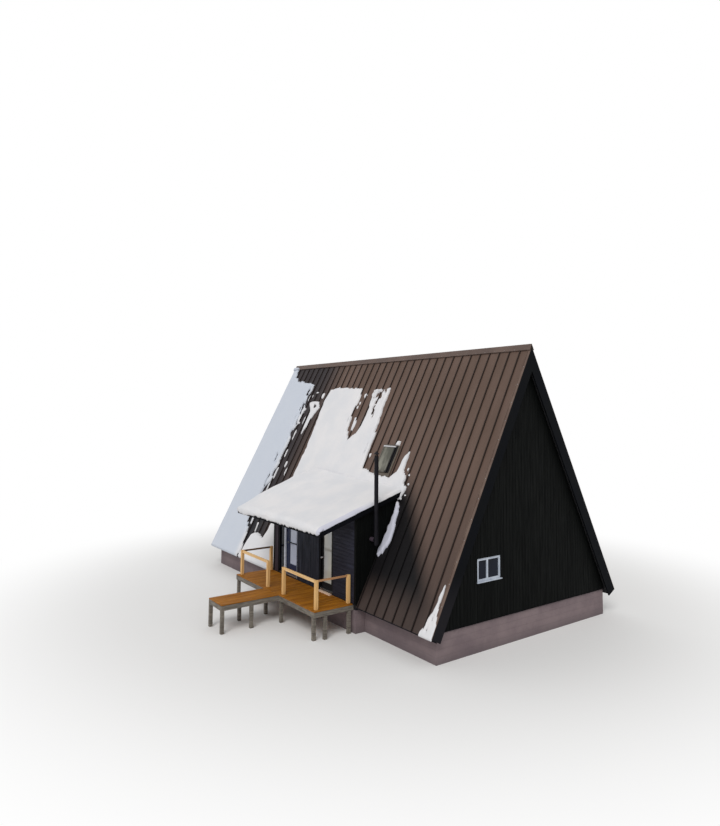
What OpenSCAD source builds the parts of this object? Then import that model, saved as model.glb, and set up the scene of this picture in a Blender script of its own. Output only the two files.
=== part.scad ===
// A-frame cabin with standing-seam roofs, a porch dormer over two doors, and a small deck.
// X runs along the ridge, the entrance side faces -Y, and Z = 0 is the ground it stands on.

/* [Main roof] */
// Length of the roof from verge to verge
roof_length = 14250; // [13000:50:15500]
// Height of the ridge above the foot of the roof
roof_rise = 8000; // [7600:50:8400]
// Distance from the ridge line to the foot of the roof, measured level
roof_run = 4190; // [4050:10:4400]
// Height of the roof's foot above the ground
foot_height = 800; // [700:10:1000]
// Thickness of the insulated roof panels
roof_panel_thick = 250; // [180:10:300]
// Thickness of the steel roofing
sheet_thick = 8; // [4:1:12]
// Spacing of the standing seams
seam_pitch = 417; // [350:1:500]
// Distance of the last seam from the right verge
seam_edge = 397; // [200:1:420]
// Width of a standing seam
seam_width = 28; // [16:1:36]
// Height of a standing seam
seam_height = 34; // [20:1:45]
// Reach of the ridge cap down each slope
ridge_cap_reach = 130; // [100:5:250]
// Thickness of the ridge cap's steel
ridge_cap_thick = 10; // [4:1:16]

/* [Verges and eaves] */
// Depth of the barge boards, square to the slope
barge_depth = 350; // [300:5:420]
// Thickness of the barge boards
barge_thick = 40; // [25:1:60]
// Thickness of the boards across the feet of the roof panels
eave_board_thick = 30; // [18:1:45]
// Distance from the verge to the face of the gable wall
verge_overhang = 200; // [120:5:300]

/* [Walls] */
// Thickness of the outer walls
wall_thick = 150; // [120:5:200]
// Thickness of the concrete plinth
plinth_thick = 300; // [200:10:400]
// Distance that the gable cladding stands out over the plinth
plinth_setback = 15; // [5:1:40]
// Height of the gable plinth above the roof's foot
plinth_top = 60; // [40:5:120]
// Distance of the front and back plinth from the ridge line
plinth_reach = 3830; // [3740:10:3880]
// Height of the floor above the roof's foot
floor_top = 100; // [80:5:120]
// Thickness of the floor
floor_thick = 200; // [150:10:250]

/* [Gable windows] */
// Width of a gable window
gable_window_width = 970; // [800:10:1100]
// Height of a gable window
gable_window_height = 650; // [450:10:750]
// Height of the gable window's sill above the roof's foot
gable_window_sill = 1150; // [1000:10:1250]
// Distance of the window's middle from the ridge line
gable_window_offset = 1785; // [1500:5:1850]
// Width of the window frame members
window_frame_width = 65; // [50:1:80]
// Depth of the window frame members
window_frame_depth = 80; // [60:1:100]
// Thickness of the glazing units
glass_thick = 24; // [16:1:32]
// Share of the window's width left of its mullion
mullion_share = 0.44; // [0.3:0.02:0.7]

/* [Dormer] */
// Distance of the dormer's left side from the middle of the cabin
dormer_left = 1430; // [1350:10:1500]
// Distance of the dormer's right side from the middle of the cabin
dormer_right = 3720; // [3660:5:3800]
// Slope of the dormer roof in degrees
dormer_pitch = 17.5; // [15:0.5:20]
// Distance of the dormer roof's front edge from the ridge line
dormer_reach = 5600; // [5450:10:5750]
// Height of the dormer roof's front edge above the main roof's foot
dormer_front_height = 2410; // [2350:10:2500]
// Overhang of the dormer roof past its left side wall
dormer_overhang_left = 210; // [150:5:230]
// Overhang of the dormer roof past its right side wall
dormer_overhang_right = 120; // [60:5:160]
// Thickness of the dormer roof
dormer_roof_thick = 150; // [120:5:200]
// Depth of the dormer's fascia boards
fascia_depth = 165; // [150:5:220]
// Thickness of the dormer's fascia boards
fascia_thick = 25; // [18:1:40]

/* [Doors] */
// Middle of the left door, from the middle of the cabin
left_door_middle = -245; // [-300:5:-150]
// Middle of the right door, from the middle of the cabin
right_door_middle = 2060; // [1960:10:2200]
// Width of the left door's leaf
left_door_width = 800; // [740:5:840]
// Width of the right door's leaf
right_door_width = 700; // [650:5:800]
// Height of a door leaf
door_height = 2020; // [1950:5:2080]
// Thickness of a door leaf
door_thick = 50; // [40:1:60]
// Running gap round a door leaf
door_gap = 8; // [6:1:12]
// Width of the door frame's jambs and head
door_frame_width = 60; // [45:1:75]
// Depth of the door frame
door_frame_depth = 100; // [80:1:120]
// Height of the door frame's sill
door_sill = 35; // [25:1:45]
// Distance of the door frame's face behind the wall's face
door_reveal = 15; // [5:1:30]
// Width of the left leaf's rail on the lock side
left_lock_stile = 240; // [200:5:280]
// Width of the right leaf's rail on the lock side
right_lock_stile = 100; // [90:5:160]
// Width of the left leaf's rail on the hinge side
left_hinge_stile = 90; // [80:5:120]
// Width of the right leaf's rail on the hinge side
right_hinge_stile = 130; // [90:5:160]
// Height of the left leaf's bottom rail
left_bottom_rail = 350; // [250:5:420]
// Height of the right leaf's bottom rail
right_bottom_rail = 200; // [150:5:260]
// Height of the leaf's top rail
top_rail = 110; // [90:5:150]
// Height of the left door's handle above its leaf's foot
left_handle_height = 1080; // [1000:10:1120]
// Height of the right door's knob above its leaf's foot
right_handle_height = 980; // [940:10:1060]
// Radius of the door hinges' barrels
hinge_radius = 9; // [7:0.5:12]
// Running gap between the two barrels of a hinge
hinge_gap = 0.3; // [0.2:0.1:0.6]
// Width of the fixed light beside the left door
sidelight_width = 300; // [240:5:320]
// Width of the post between the fixed light and the left door
sidelight_post = 110; // [80:5:140]

/* [Deck] */
// Distance of the deck's left edge from the middle of the cabin
deck_left = 1650; // [1600:10:1760]
// Distance of the deck's right edge from the middle of the cabin
deck_right = 3600; // [3560:5:3700]
// Distance of the deck's front edge from the ridge line
deck_reach = 5600; // [5450:10:5750]
// Height of the deck above the roof's foot
deck_top = 70; // [60:5:75]
// Thickness of the deck boards
deck_board_thick = 30; // [22:1:40]
// Thickness of the deck's beams
deck_beam_thick = 45; // [38:1:60]
// Depth of the deck's beams
deck_beam_depth = 150; // [120:5:180]
// Room left between the deck and the main roof's foot
deck_roof_gap = 45; // [40:1:60]
// Middle of the walkway, from the middle of the cabin
walkway_middle = 975; // [900:5:1050]
// Width of the walkway
walkway_width = 950; // [850:10:1000]
// Length of the walkway in front of the deck
walkway_length = 1960; // [1500:10:2200]
// Width of the legs and the railing posts
post_width = 100; // [80:1:120]
// Height of the railing above the deck
rail_height = 860; // [800:10:1000]
// Depth of the railing's top rails
rail_depth = 90; // [70:1:110]
// Thickness of the railing's top rails
rail_thick = 50; // [40:1:70]
// Distance of the railing posts from the deck's edge
post_inset = 100; // [70:5:140]

/* [Flue and skylight] */
// Diameter of the stovepipe
pipe_diameter = 130; // [110:1:150]
// Thickness of the stovepipe's wall
pipe_wall = 5; // [3:1:8]
// Room left between the stovepipe and the dormer's verge
pipe_gap = 85; // [60:1:140]
// Distance of the stovepipe from the ridge line
pipe_reach = 3630; // [3500:10:3700]
// Height of the stovepipe's top above the roof's foot
pipe_top = 4570; // [4400:10:4800]
// Height of the pipe's branch into the wall above the roof's foot
pipe_branch = 1990; // [1900:10:2100]
// Middle of the skylight, from the middle of the cabin
skylight_middle = 2380; // [2300:10:2450]
// Width of the skylight
skylight_width = 660; // [550:10:780]
// Length of the skylight, measured along the slope
skylight_length = 980; // [780:10:1100]
// Distance of the skylight's lower edge up the slope from the foot
skylight_foot = 4350; // [4250:10:4500]
// Height of the skylight's frame above the roofing
skylight_height = 90; // [60:5:120]
// Width of the skylight's frame members
skylight_frame = 60; // [45:1:80]

/* [Hidden] */
$fn = 48;

// Room added to a cutting solid so that it passes right through
pass = 20;
// Room between a piece and the sloped face that it seats on
seat = 0.3;

// Main roof: its foot stands out over the plinth by at least the eave's room
eave_room = 220;
foot_run = max(roof_run, plinth_reach + eave_room);
slope = atan2(roof_rise, foot_run);
roof_half = roof_length / 2;
floor_z = foot_height + floor_top;
sheet_inner = roof_half - barge_thick;

// Level distance from the ridge line to the layer at depth d under the roofing, at height z
function layer_reach(z, d) = foot_run - d / sin(slope) - (z - foot_height) / tan(slope);
// Point s up the slope from the foot and d deep under the roofing, as distance from the ridge and height
function slope_point(s, d) = [
    -foot_run + s * cos(slope) + d * sin(slope),
    foot_height + s * sin(slope) - d * cos(slope)
];
// Height at which the layer at depth d meets the ridge line
function ridge_z(d) = foot_height + roof_rise - d / cos(slope);
// Length of the slope from the foot to the ridge, on the roofing
slope_length = foot_run / cos(slope);

// Gable walls
gable_face = roof_half - verge_overhang;
gable_inner = gable_face - wall_thick;
plinth_face = gable_face - plinth_setback;
plinth_inner = plinth_face - plinth_thick;
gable_base = foot_height + plinth_top;

// Dormer
dormer_face = foot_run;
dormer_inner = dormer_face - wall_thick;
dormer_x0 = -dormer_left;
dormer_x1 = dormer_right;
verge_x0 = dormer_x0 - dormer_overhang_left;
verge_x1 = dormer_x1 + dormer_overhang_right;
dormer_drop = dormer_roof_thick / cos(dormer_pitch);
dormer_under = dormer_drop + seat;
// Height of the dormer roof's top at distance y from the ridge line
function dormer_z(y) = foot_height + dormer_front_height + (dormer_reach - y) * tan(dormer_pitch);
// Distance from the ridge line where the dormer surface that lies drop below its top meets layer d
function dormer_meet(drop, d) =
    ((foot_run - d / sin(slope)) * tan(slope) - dormer_front_height + drop - dormer_reach * tan(dormer_pitch))
    / (tan(slope) - tan(dormer_pitch));
header_y = dormer_meet(dormer_drop, sheet_thick);
header_z = dormer_z(header_y) - dormer_drop;

// Doors
frame_y0 = -dormer_face + door_reveal;
frame_y1 = frame_y0 + door_frame_depth;
leaf_y1 = frame_y1;
leaf_y0 = leaf_y1 - door_thick;
leaf_z0 = floor_z + door_sill + door_gap;
leaf_z1 = leaf_z0 + door_height;
frame_top = leaf_z1 + door_gap + door_frame_width;
side_room = door_gap + door_frame_width;
left_leaf_x0 = left_door_middle - left_door_width / 2;
left_leaf_x1 = left_door_middle + left_door_width / 2;
right_leaf_x0 = right_door_middle - right_door_width / 2;
right_leaf_x1 = right_door_middle + right_door_width / 2;
sidelight_x1 = left_leaf_x0 - door_gap - sidelight_post;
sidelight_x0 = sidelight_x1 - sidelight_width;
left_frame_x0 = sidelight_x0 - door_frame_width;
left_frame_x1 = left_leaf_x1 + side_room;
right_frame_x0 = right_leaf_x0 - side_room;
right_frame_x1 = right_leaf_x1 + side_room;
left_glass_x0 = left_leaf_x0 + left_lock_stile;
left_glass_x1 = left_leaf_x1 - left_hinge_stile;
left_glass_z0 = leaf_z0 + left_bottom_rail;
right_glass_x0 = right_leaf_x0 + right_lock_stile;
right_glass_x1 = right_leaf_x1 - right_hinge_stile;
right_glass_z0 = leaf_z0 + right_bottom_rail;

// Height of each hinge barrel, and the width and thickness of its plate
hinge_barrel = 50;
hinge_plate = 38;
hinge_plate_thick = 3;
// Distance of the upper and lower hinges from the leaf's ends
hinge_end = 220;
hinge_y = leaf_y1 + hinge_radius;

// Handles
left_handle_inset = 125;
right_handle_inset = 55;
handle_reach = 55;
lever_length = 130;
lever_radius = 10;
rosette_radius = 26;
rosette_thick = 8;
knob_radius = 28;

// Deck
deck_z = foot_height + deck_top;
deck_under = deck_z - deck_board_thick;
beam_under = deck_under - deck_beam_depth;
deck_back = foot_run + deck_roof_gap;
walkway_x0 = walkway_middle - walkway_width / 2;
walkway_x1 = walkway_middle + walkway_width / 2;
walkway_reach = deck_reach + walkway_length;
rail_top = deck_z + rail_height;
post_half = post_width / 2;
front_post_y = -deck_reach + post_inset + post_half;
back_post_y = -deck_back - post_half;
left_post_x = -deck_left + post_inset + post_half;
right_post_x = deck_right - post_inset - post_half;
gate_post_x0 = walkway_x0 - post_half;
gate_post_x1 = walkway_x1 + post_half;
joist_spacing = 1030;
// Room at the joints of the deck's beams
joint_gap = 0.3;
// Setback of the legs from the deck's front edge, and of the second right leg behind the first
leg_setback = 30;
leg_step = 330;

// Timber step at the right door: its middle, its size and its distance from the wall
step_middle = 2150;
step_length = 660;
step_depth = 90;
step_height = 45;
step_gap = 60;

// Flue
pipe_x = verge_x1 + pipe_gap + pipe_diameter / 2;
tee_half = 150;
cowl_radius = 95;
cowl_height = 90;
cowl_gap = 60;
cowl_tip = 12;
strip_width = 20;
plate_radius = 110;
plate_thick = 12;

// Skylight
skylight_x0 = skylight_middle - skylight_width / 2;
skylight_depth = roof_panel_thick / 2;

// Window in a gable
window_y0 = -gable_window_offset - gable_window_width / 2;
window_z0 = foot_height + gable_window_sill;

// Profile in the YZ plane, drawn from x0 to x1
module along_x(x0, x1) translate([x0, 0, 0]) rotate([90, 0, 90]) linear_extrude(x1 - x0) children();

// Box between two corners
module block(a, b) translate(a) cube(b - a);

// Local frame of the front slope: x along the ridge, y up the slope, z out of the roof
module on_front_slope() translate([0, -foot_run, foot_height]) rotate([slope, 0, 0]) children();

// Front half of a layer of the roof between depths d0 and d1, from s0 up the slope to the ridge
module roof_layer(d0, d1, s0 = 0)
    polygon([slope_point(s0, d0), slope_point(s0, d1), [0, ridge_z(d1)], [0, ridge_z(d0)]]);

// Everything under the layer at depth d
module under_layer(d) polygon([
    [-layer_reach(-pass, d), -pass], [layer_reach(-pass, d), -pass], [0, ridge_z(d)]
]);

module plinth_front() color("lightgray") union() {
    intersection() {
        along_x(-plinth_inner, plinth_inner) under_layer(roof_panel_thick + seat);
        union() {
            block([-plinth_inner, -plinth_reach, 0], [dormer_x0, -plinth_reach + plinth_thick, gable_base]);
            block([dormer_x1, -plinth_reach, 0], [plinth_inner, -plinth_reach + plinth_thick, gable_base]);
        }
    }
    block([dormer_x0, -dormer_face, 0], [dormer_x1, -plinth_reach + plinth_thick, floor_z - floor_thick]);
}

module plinth_back() color("lightgray") intersection() {
    along_x(-plinth_inner, plinth_inner) under_layer(roof_panel_thick + seat);
    block([-plinth_inner, plinth_reach - plinth_thick, 0], [plinth_inner, plinth_reach, gable_base]);
}

module gable_plinth() intersection() {
    along_x(plinth_inner, plinth_face) under_layer(roof_panel_thick + seat);
    block([plinth_inner, -plinth_reach, 0], [plinth_face, plinth_reach, gable_base]);
}

module plinth_right() color("lightgray") gable_plinth();

module plinth_left() color("lightgray") mirror([1, 0, 0]) gable_plinth();

module plinth_middle() color("lightgray")
    block([-plinth_inner, -plinth_thick / 2, 0], [plinth_inner, plinth_thick / 2, floor_z - floor_thick]);

module floor() color("peru") union() {
    block(
        [-plinth_inner, -plinth_reach + plinth_thick, floor_z - floor_thick],
        [plinth_inner, plinth_reach - plinth_thick, floor_z]
    );
    block(
        [dormer_x0, -dormer_face, floor_z - floor_thick],
        [dormer_x1, -plinth_reach + plinth_thick, floor_z]
    );
}

// Front roof panel between two places along the ridge
module front_panel(x0, x1) along_x(x0, x1) roof_layer(sheet_thick + seat, roof_panel_thick);

module roof_panel_front_left() color("dimgray") front_panel(-sheet_inner, dormer_x0);

module roof_panel_front_right() color("dimgray") front_panel(dormer_x1, sheet_inner);

module roof_panel_front_middle() color("dimgray") difference() {
    front_panel(dormer_x0, dormer_x1);
    block([dormer_x0 - pass, -foot_run - roof_panel_thick, 0], [dormer_x1 + pass, 0, header_z]);
    skylight_hole();
}

module roof_panel_back() color("dimgray") mirror([0, 1, 0]) front_panel(-sheet_inner, sheet_inner);

// Hole for the skylight through the roofing and the panel
module skylight_hole() on_front_slope() translate([skylight_x0, skylight_foot, -roof_panel_thick - pass])
    cube([skylight_width, skylight_length, roof_panel_thick + seam_height + 2 * pass]);

// Steel pans with their seams on the front slope
module steel_roof() union() {
    along_x(-roof_half, roof_half) roof_layer(0, sheet_thick);
    on_front_slope() for (x = [roof_half - seam_edge : -seam_pitch : -roof_half + seam_width])
        translate([x - seam_width / 2, 0, -sheet_thick / 2])
            cube([seam_width, slope_length - ridge_cap_reach, seam_height + sheet_thick / 2]);
}

// Space that the dormer takes out of the roofing
module dormer_space() {
    along_x(verge_x0, verge_x1) polygon([
        [-dormer_reach, dormer_z(dormer_reach)],
        [-dormer_reach, dormer_z(dormer_reach) - dormer_drop],
        [0, dormer_z(0) - dormer_drop],
        [0, dormer_z(0)]
    ]);
    block([dormer_x0, -dormer_reach, 0], [dormer_x1, 0, header_z]);
}

module roof_sheet_front() color("saddlebrown") difference() {
    steel_roof();
    dormer_space();
    skylight_hole();
}

module roof_sheet_back() color("saddlebrown") mirror([0, 1, 0]) steel_roof();

// Bent steel strip over the ridge, standing on the seams
module ridge_cap() color("saddlebrown") along_x(-roof_half, roof_half) {
    inner = -seam_height;
    outer = inner - ridge_cap_thick;
    edge = slope_length - ridge_cap_reach + seat;
    for (side = [0, 1]) mirror([side, 0]) polygon([
        slope_point(edge, -seat), slope_point(edge, outer), [0, ridge_z(outer)], [0, ridge_z(inner)],
        slope_point(edge + ridge_cap_thick, inner), slope_point(edge + ridge_cap_thick, -seat)
    ]);
}

// Pair of barge boards under one verge
module barge_pair() for (side = [0, 1]) mirror([0, side, 0])
    along_x(roof_half - barge_thick, roof_half) roof_layer(sheet_thick + seat, barge_depth);

module barge_boards_right() color("darkslategray") barge_pair();

module barge_boards_left() color("darkslategray") mirror([1, 0, 0]) barge_pair();

// Board across the cut feet of the roof panels
module eave_board(x0, x1) along_x(x0, x1) polygon([
    slope_point(-seat, sheet_thick), slope_point(-seat, roof_panel_thick),
    slope_point(-eave_board_thick, roof_panel_thick), slope_point(-eave_board_thick, sheet_thick)
]);

module eave_boards() color("darkslategray") {
    eave_board(-sheet_inner, dormer_x0);
    eave_board(dormer_x1, sheet_inner);
    mirror([0, 1, 0]) eave_board(-sheet_inner, sheet_inner);
}

// Gable wall at the right end, with its window hole
module gable_wall() difference() {
    intersection() {
        along_x(gable_inner, gable_face) under_layer(roof_panel_thick + seat);
        block([gable_inner - pass, -foot_run, gable_base], [gable_face + pass, foot_run, ridge_z(0)]);
    }
    block(
        [gable_inner - pass, window_y0, window_z0],
        [gable_face + pass, window_y0 + gable_window_width, window_z0 + gable_window_height]
    );
}

module right_gable_wall() color("#222222") gable_wall();

module left_gable_wall() color("#222222") mirror([1, 0, 0]) gable_wall();

// Window frame with one mullion, set flush with the gable's face
module gable_window() {
    frame = window_frame_width;
    mullion_y = window_y0 + gable_window_width * mullion_share;
    x0 = gable_face - window_frame_depth;
    difference() {
        block(
            [x0, window_y0, window_z0],
            [gable_face, window_y0 + gable_window_width, window_z0 + gable_window_height]
        );
        block(
            [x0 - pass, window_y0 + frame, window_z0 + frame],
            [gable_face + pass, mullion_y - frame / 2, window_z0 + gable_window_height - frame]
        );
        block(
            [x0 - pass, mullion_y + frame / 2, window_z0 + frame],
            [gable_face + pass, window_y0 + gable_window_width - frame, window_z0 + gable_window_height - frame]
        );
    }
}

module right_gable_window() color("white") gable_window();

module left_gable_window() color("white") mirror([1, 0, 0]) gable_window();

// The two glazing units of a gable window
module gable_panes() {
    frame = window_frame_width;
    mullion_y = window_y0 + gable_window_width * mullion_share;
    x0 = gable_face - window_frame_depth / 2 - glass_thick / 2;
    z0 = window_z0 + frame;
    z1 = window_z0 + gable_window_height - frame;
    block([x0, window_y0 + frame, z0], [x0 + glass_thick, mullion_y - frame / 2, z1]);
    block([x0, mullion_y + frame / 2, z0], [x0 + glass_thick, window_y0 + gable_window_width - frame, z1]);
}

// Glass of the fixed light beside the left door
module sidelight_pane() {
    y0 = (frame_y0 + frame_y1 - glass_thick) / 2;
    block([sidelight_x0, y0, floor_z + door_sill], [sidelight_x1, y0 + glass_thick, frame_top - door_frame_width]);
}

module skylight_pane() on_front_slope()
    translate([skylight_x0 + skylight_frame, skylight_foot + skylight_frame, skylight_height - glass_thick - 12])
        cube([skylight_width - 2 * skylight_frame, skylight_length - 2 * skylight_frame, glass_thick]);

module window_panes() color("lightblue") {
    gable_panes();
    mirror([1, 0, 0]) gable_panes();
    sidelight_pane();
    skylight_pane();
}

// Stretch of the dormer's front wall from height z0 up to the dormer roof
module front_wall(x0, x1, z0) along_x(x0, x1) polygon([
    [-dormer_face, z0], [-dormer_inner, z0],
    [-dormer_inner, dormer_z(dormer_inner) - dormer_under], [-dormer_face, dormer_z(dormer_face) - dormer_under]
]);

module front_wall_left() color("#33353a") front_wall(dormer_x0, left_frame_x0, floor_z);

module front_wall_middle() color("#33353a") front_wall(left_frame_x1, right_frame_x0, floor_z);

module front_wall_right() color("#33353a") front_wall(right_frame_x1, dormer_x1, floor_z);

module front_wall_heads() color("#33353a") {
    front_wall(left_frame_x0, left_frame_x1, frame_top);
    front_wall(right_frame_x0, right_frame_x1, frame_top);
}

// Side wall between the front wall, the dormer roof and the main roof
module dormer_side(x0) along_x(x0, x0 + wall_thick) polygon([
    [-dormer_inner, floor_z],
    [-dormer_inner, dormer_z(dormer_inner) - dormer_under],
    [-header_y, header_z - seat],
    [-layer_reach(header_z, roof_panel_thick), header_z - seat],
    [-layer_reach(floor_z, roof_panel_thick), floor_z]
]);

module dormer_side_right() color("#222222") dormer_side(dormer_x1 - wall_thick);

module dormer_side_left() color("#222222") dormer_side(dormer_x0);

// Slab of the dormer roof between two places, from distance y0 up to the main roof
module dormer_slab(x0, x1, y0, drop) along_x(x0, x1) polygon([
    [-y0, dormer_z(y0)], [-y0, dormer_z(y0) - drop],
    [-dormer_meet(drop, sheet_thick), dormer_z(dormer_meet(drop, sheet_thick)) - drop],
    [-dormer_meet(0, sheet_thick), dormer_z(dormer_meet(0, sheet_thick))]
]);

module dormer_roof() color("dimgray")
    dormer_slab(verge_x0 + fascia_thick, verge_x1 - fascia_thick, dormer_reach - fascia_thick, dormer_drop);

module dormer_fascia() color("#222222") union() {
    dormer_slab(verge_x0, verge_x0 + fascia_thick, dormer_reach, dormer_drop);
    dormer_slab(verge_x1 - fascia_thick, verge_x1, dormer_reach, dormer_drop);
    along_x(verge_x0, verge_x1) polygon([
        [-dormer_reach, dormer_z(dormer_reach)],
        [-dormer_reach + fascia_thick, dormer_z(dormer_reach - fascia_thick)],
        [-dormer_reach + fascia_thick, dormer_z(dormer_reach) - fascia_depth],
        [-dormer_reach, dormer_z(dormer_reach) - fascia_depth]
    ]);
}

// Halves of a leaf's hinges: barrels and plates, side 1 on the leaf and side -1 on the frame below it
module hinge_halves(leaf_x1, side) {
    axis_x = leaf_x1 + door_gap / 2;
    middle = (leaf_z0 + leaf_z1) / 2;
    lift = side > 0 ? hinge_gap : -hinge_barrel;
    plate_x = side > 0 ? leaf_x1 - hinge_plate : leaf_x1 + door_gap;
    for (z = [leaf_z0 + hinge_end, middle, leaf_z1 - hinge_end]) translate([0, 0, z + lift]) {
        translate([axis_x, hinge_y, 0]) cylinder(r = hinge_radius, h = hinge_barrel);
        block([plate_x, leaf_y1, 0], [plate_x + hinge_plate, leaf_y1 + hinge_plate_thick, hinge_barrel]);
    }
}

// Frame round one leaf, with its hinge halves: two jambs, a head and a sill
module door_frame(x0, x1, leaf_x0, leaf_x1) {
    difference() {
        block([x0, frame_y0, floor_z], [x1, frame_y1, frame_top]);
        block(
            [leaf_x0 - door_gap, frame_y0 - pass, floor_z + door_sill],
            [leaf_x1 + door_gap, frame_y1 + pass, frame_top - door_frame_width]
        );
    }
    hinge_halves(leaf_x1, -1);
}

module door_frame_left() color("white") difference() {
    door_frame(left_frame_x0, left_frame_x1, left_leaf_x0, left_leaf_x1);
    block(
        [sidelight_x0, frame_y0 - pass, floor_z + door_sill],
        [sidelight_x1, frame_y1 + pass, frame_top - door_frame_width]
    );
}

module door_frame_right() color("#222222")
    door_frame(right_frame_x0, right_frame_x1, right_leaf_x0, right_leaf_x1);

// Leaf from x0 to x1 with its hinge halves, and a glazed opening from glass_x0 to glass_x1 above glass_z0
module door_leaf(x0, x1, glass_x0, glass_x1, glass_z0) {
    difference() {
        block([x0, leaf_y0, leaf_z0], [x1, leaf_y1, leaf_z1]);
        block([glass_x0, leaf_y0 - pass, glass_z0], [glass_x1, leaf_y1 + pass, leaf_z1 - top_rail]);
    }
    hinge_halves(x1, 1);
}

// Glazing unit that fills the leaf's opening
module door_glass(x0, x1, z0) {
    y0 = (leaf_y0 + leaf_y1 - glass_thick) / 2;
    block([x0, y0, z0], [x1, y0 + glass_thick, leaf_z1 - top_rail]);
}

module door_left() color("#3a4250")
    door_leaf(left_leaf_x0, left_leaf_x1, left_glass_x0, left_glass_x1, left_glass_z0);

module door_right() color("#222222")
    door_leaf(right_leaf_x0, right_leaf_x1, right_glass_x0, right_glass_x1, right_glass_z0);

module door_glass_left() color("lightblue") door_glass(left_glass_x0, left_glass_x1, left_glass_z0);

module door_glass_right() color("lightblue") door_glass(right_glass_x0, right_glass_x1, right_glass_z0);

// Neck and rosette of a handle at x and z on the leaf's face at y, standing out towards side
module handle_root(x, y, z, side) translate([x, y, z]) rotate([side * -90, 0, 0]) {
    cylinder(r = rosette_radius, h = rosette_thick);
    cylinder(r = lever_radius, h = handle_reach);
}

module lever(x, y, z, side) {
    handle_root(x, y, z, side);
    translate([x - lever_radius, y + side * (handle_reach - lever_radius), z])
        rotate([0, 90, 0]) cylinder(r = lever_radius, h = lever_length);
}

module door_handle_left() color("gray") {
    x = left_leaf_x0 + left_handle_inset;
    z = leaf_z0 + left_handle_height;
    lever(x, leaf_y0, z, -1);
    lever(x, leaf_y1, z, 1);
}

module knob(x, y, z, side) {
    handle_root(x, y, z, side);
    translate([x, y + side * handle_reach, z]) sphere(r = knob_radius);
}

module door_handle_right() color("silver") {
    x = right_leaf_x0 + right_handle_inset;
    z = leaf_z0 + right_handle_height;
    knob(x, leaf_y0, z, -1);
    knob(x, leaf_y1, z, 1);
}

module deck_boards() color("orange") union() {
    block([-deck_left, -deck_reach, deck_under], [deck_right, -deck_back, deck_z]);
    block([dormer_x0, -deck_back, deck_under], [deck_right, -dormer_face, deck_z]);
    block([walkway_x0, -walkway_reach, deck_under], [walkway_x1, -deck_reach, deck_z]);
}

// One beam of the deck between two corners seen from above
module beam(x0, y0, x1, y1) block([x0, y0, beam_under], [x1, y1, deck_under]);

module deck_frame() color("gray") {
    thick = deck_beam_thick;
    joist_y0 = -deck_reach + thick + joint_gap;
    joist_y1 = -deck_back - thick - joint_gap;
    walkway_mid = -(walkway_reach + deck_reach) / 2;
    // Beams along the deck: front, back, and the ledger on the floor's edge
    beam(-deck_left, -deck_reach, deck_right, -deck_reach + thick);
    beam(-deck_left, -deck_back - thick, deck_right, -deck_back);
    beam(dormer_x0, -deck_back + joint_gap, deck_right, -dormer_face - joint_gap);
    // Joists and end beams across the deck
    for (x = [-deck_left : joist_spacing : deck_right - joist_spacing / 2]) beam(x, joist_y0, x + thick, joist_y1);
    beam(deck_right - thick, joist_y0, deck_right, joist_y1);
    // Beams of the walkway
    for (x = [walkway_x0, walkway_x1 - thick]) beam(x, -walkway_reach, x + thick, -deck_reach - joint_gap);
    for (y = [-walkway_reach, walkway_mid])
        beam(walkway_x0 + thick + joint_gap, y, walkway_x1 - thick - joint_gap, y + thick);
}

// Leg from the ground to the beams, with its left front corner at x and y
module leg(x, y) block([x, y, 0], [x + post_width, y + post_width, beam_under]);

module deck_posts() color("tan") {
    front_y = -deck_reach + leg_setback;
    back_y = -deck_back - deck_beam_thick - post_width;
    right_x = deck_right - post_width;
    for (x = [-deck_left, walkway_x0 - post_width, walkway_x1], y = [front_y, back_y]) leg(x, y);
    leg(right_x - post_width, front_y);
    leg(right_x, front_y + leg_step);
    leg(right_x, back_y);
    for (x = [walkway_x0, walkway_x1 - post_width], y = [-walkway_reach, -(walkway_reach + deck_reach) / 2]) leg(x, y);
}

// Railing post standing on the deck
module rail_post(x, y)
    block([x - post_half, y - post_half, deck_z], [x + post_half, y + post_half, rail_top]);

// Top rail between two posts, along X or along Y
module rail(x0, y0, x1, y1) {
    wide = rail_thick / 2;
    if (x1 - x0 > y1 - y0)
        block([x0, y0 - wide, rail_top - rail_depth], [x1, y0 + wide, rail_top]);
    else
        block([x0 - wide, y0, rail_top - rail_depth], [x0 + wide, y1, rail_top]);
}

module railing_left() color("burlywood") union() {
    rail_post(left_post_x, back_post_y);
    rail_post(left_post_x, front_post_y);
    rail_post(gate_post_x0, front_post_y);
    rail(left_post_x, front_post_y, left_post_x, back_post_y);
    rail(left_post_x, front_post_y, gate_post_x0, front_post_y);
}

module railing_right() color("burlywood") union() {
    rail_post(right_post_x, back_post_y);
    rail_post(right_post_x, front_post_y);
    rail_post(gate_post_x1, front_post_y);
    rail(right_post_x, front_post_y, right_post_x, back_post_y);
    rail(gate_post_x1, front_post_y, right_post_x, front_post_y);
}

// Timber step on the deck in front of the right door
module door_step() color("burlywood") block(
    [step_middle - step_length / 2, -dormer_face - step_gap - step_depth, deck_z],
    [step_middle + step_length / 2, -dormer_face - step_gap, deck_z + step_height]
);

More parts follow.
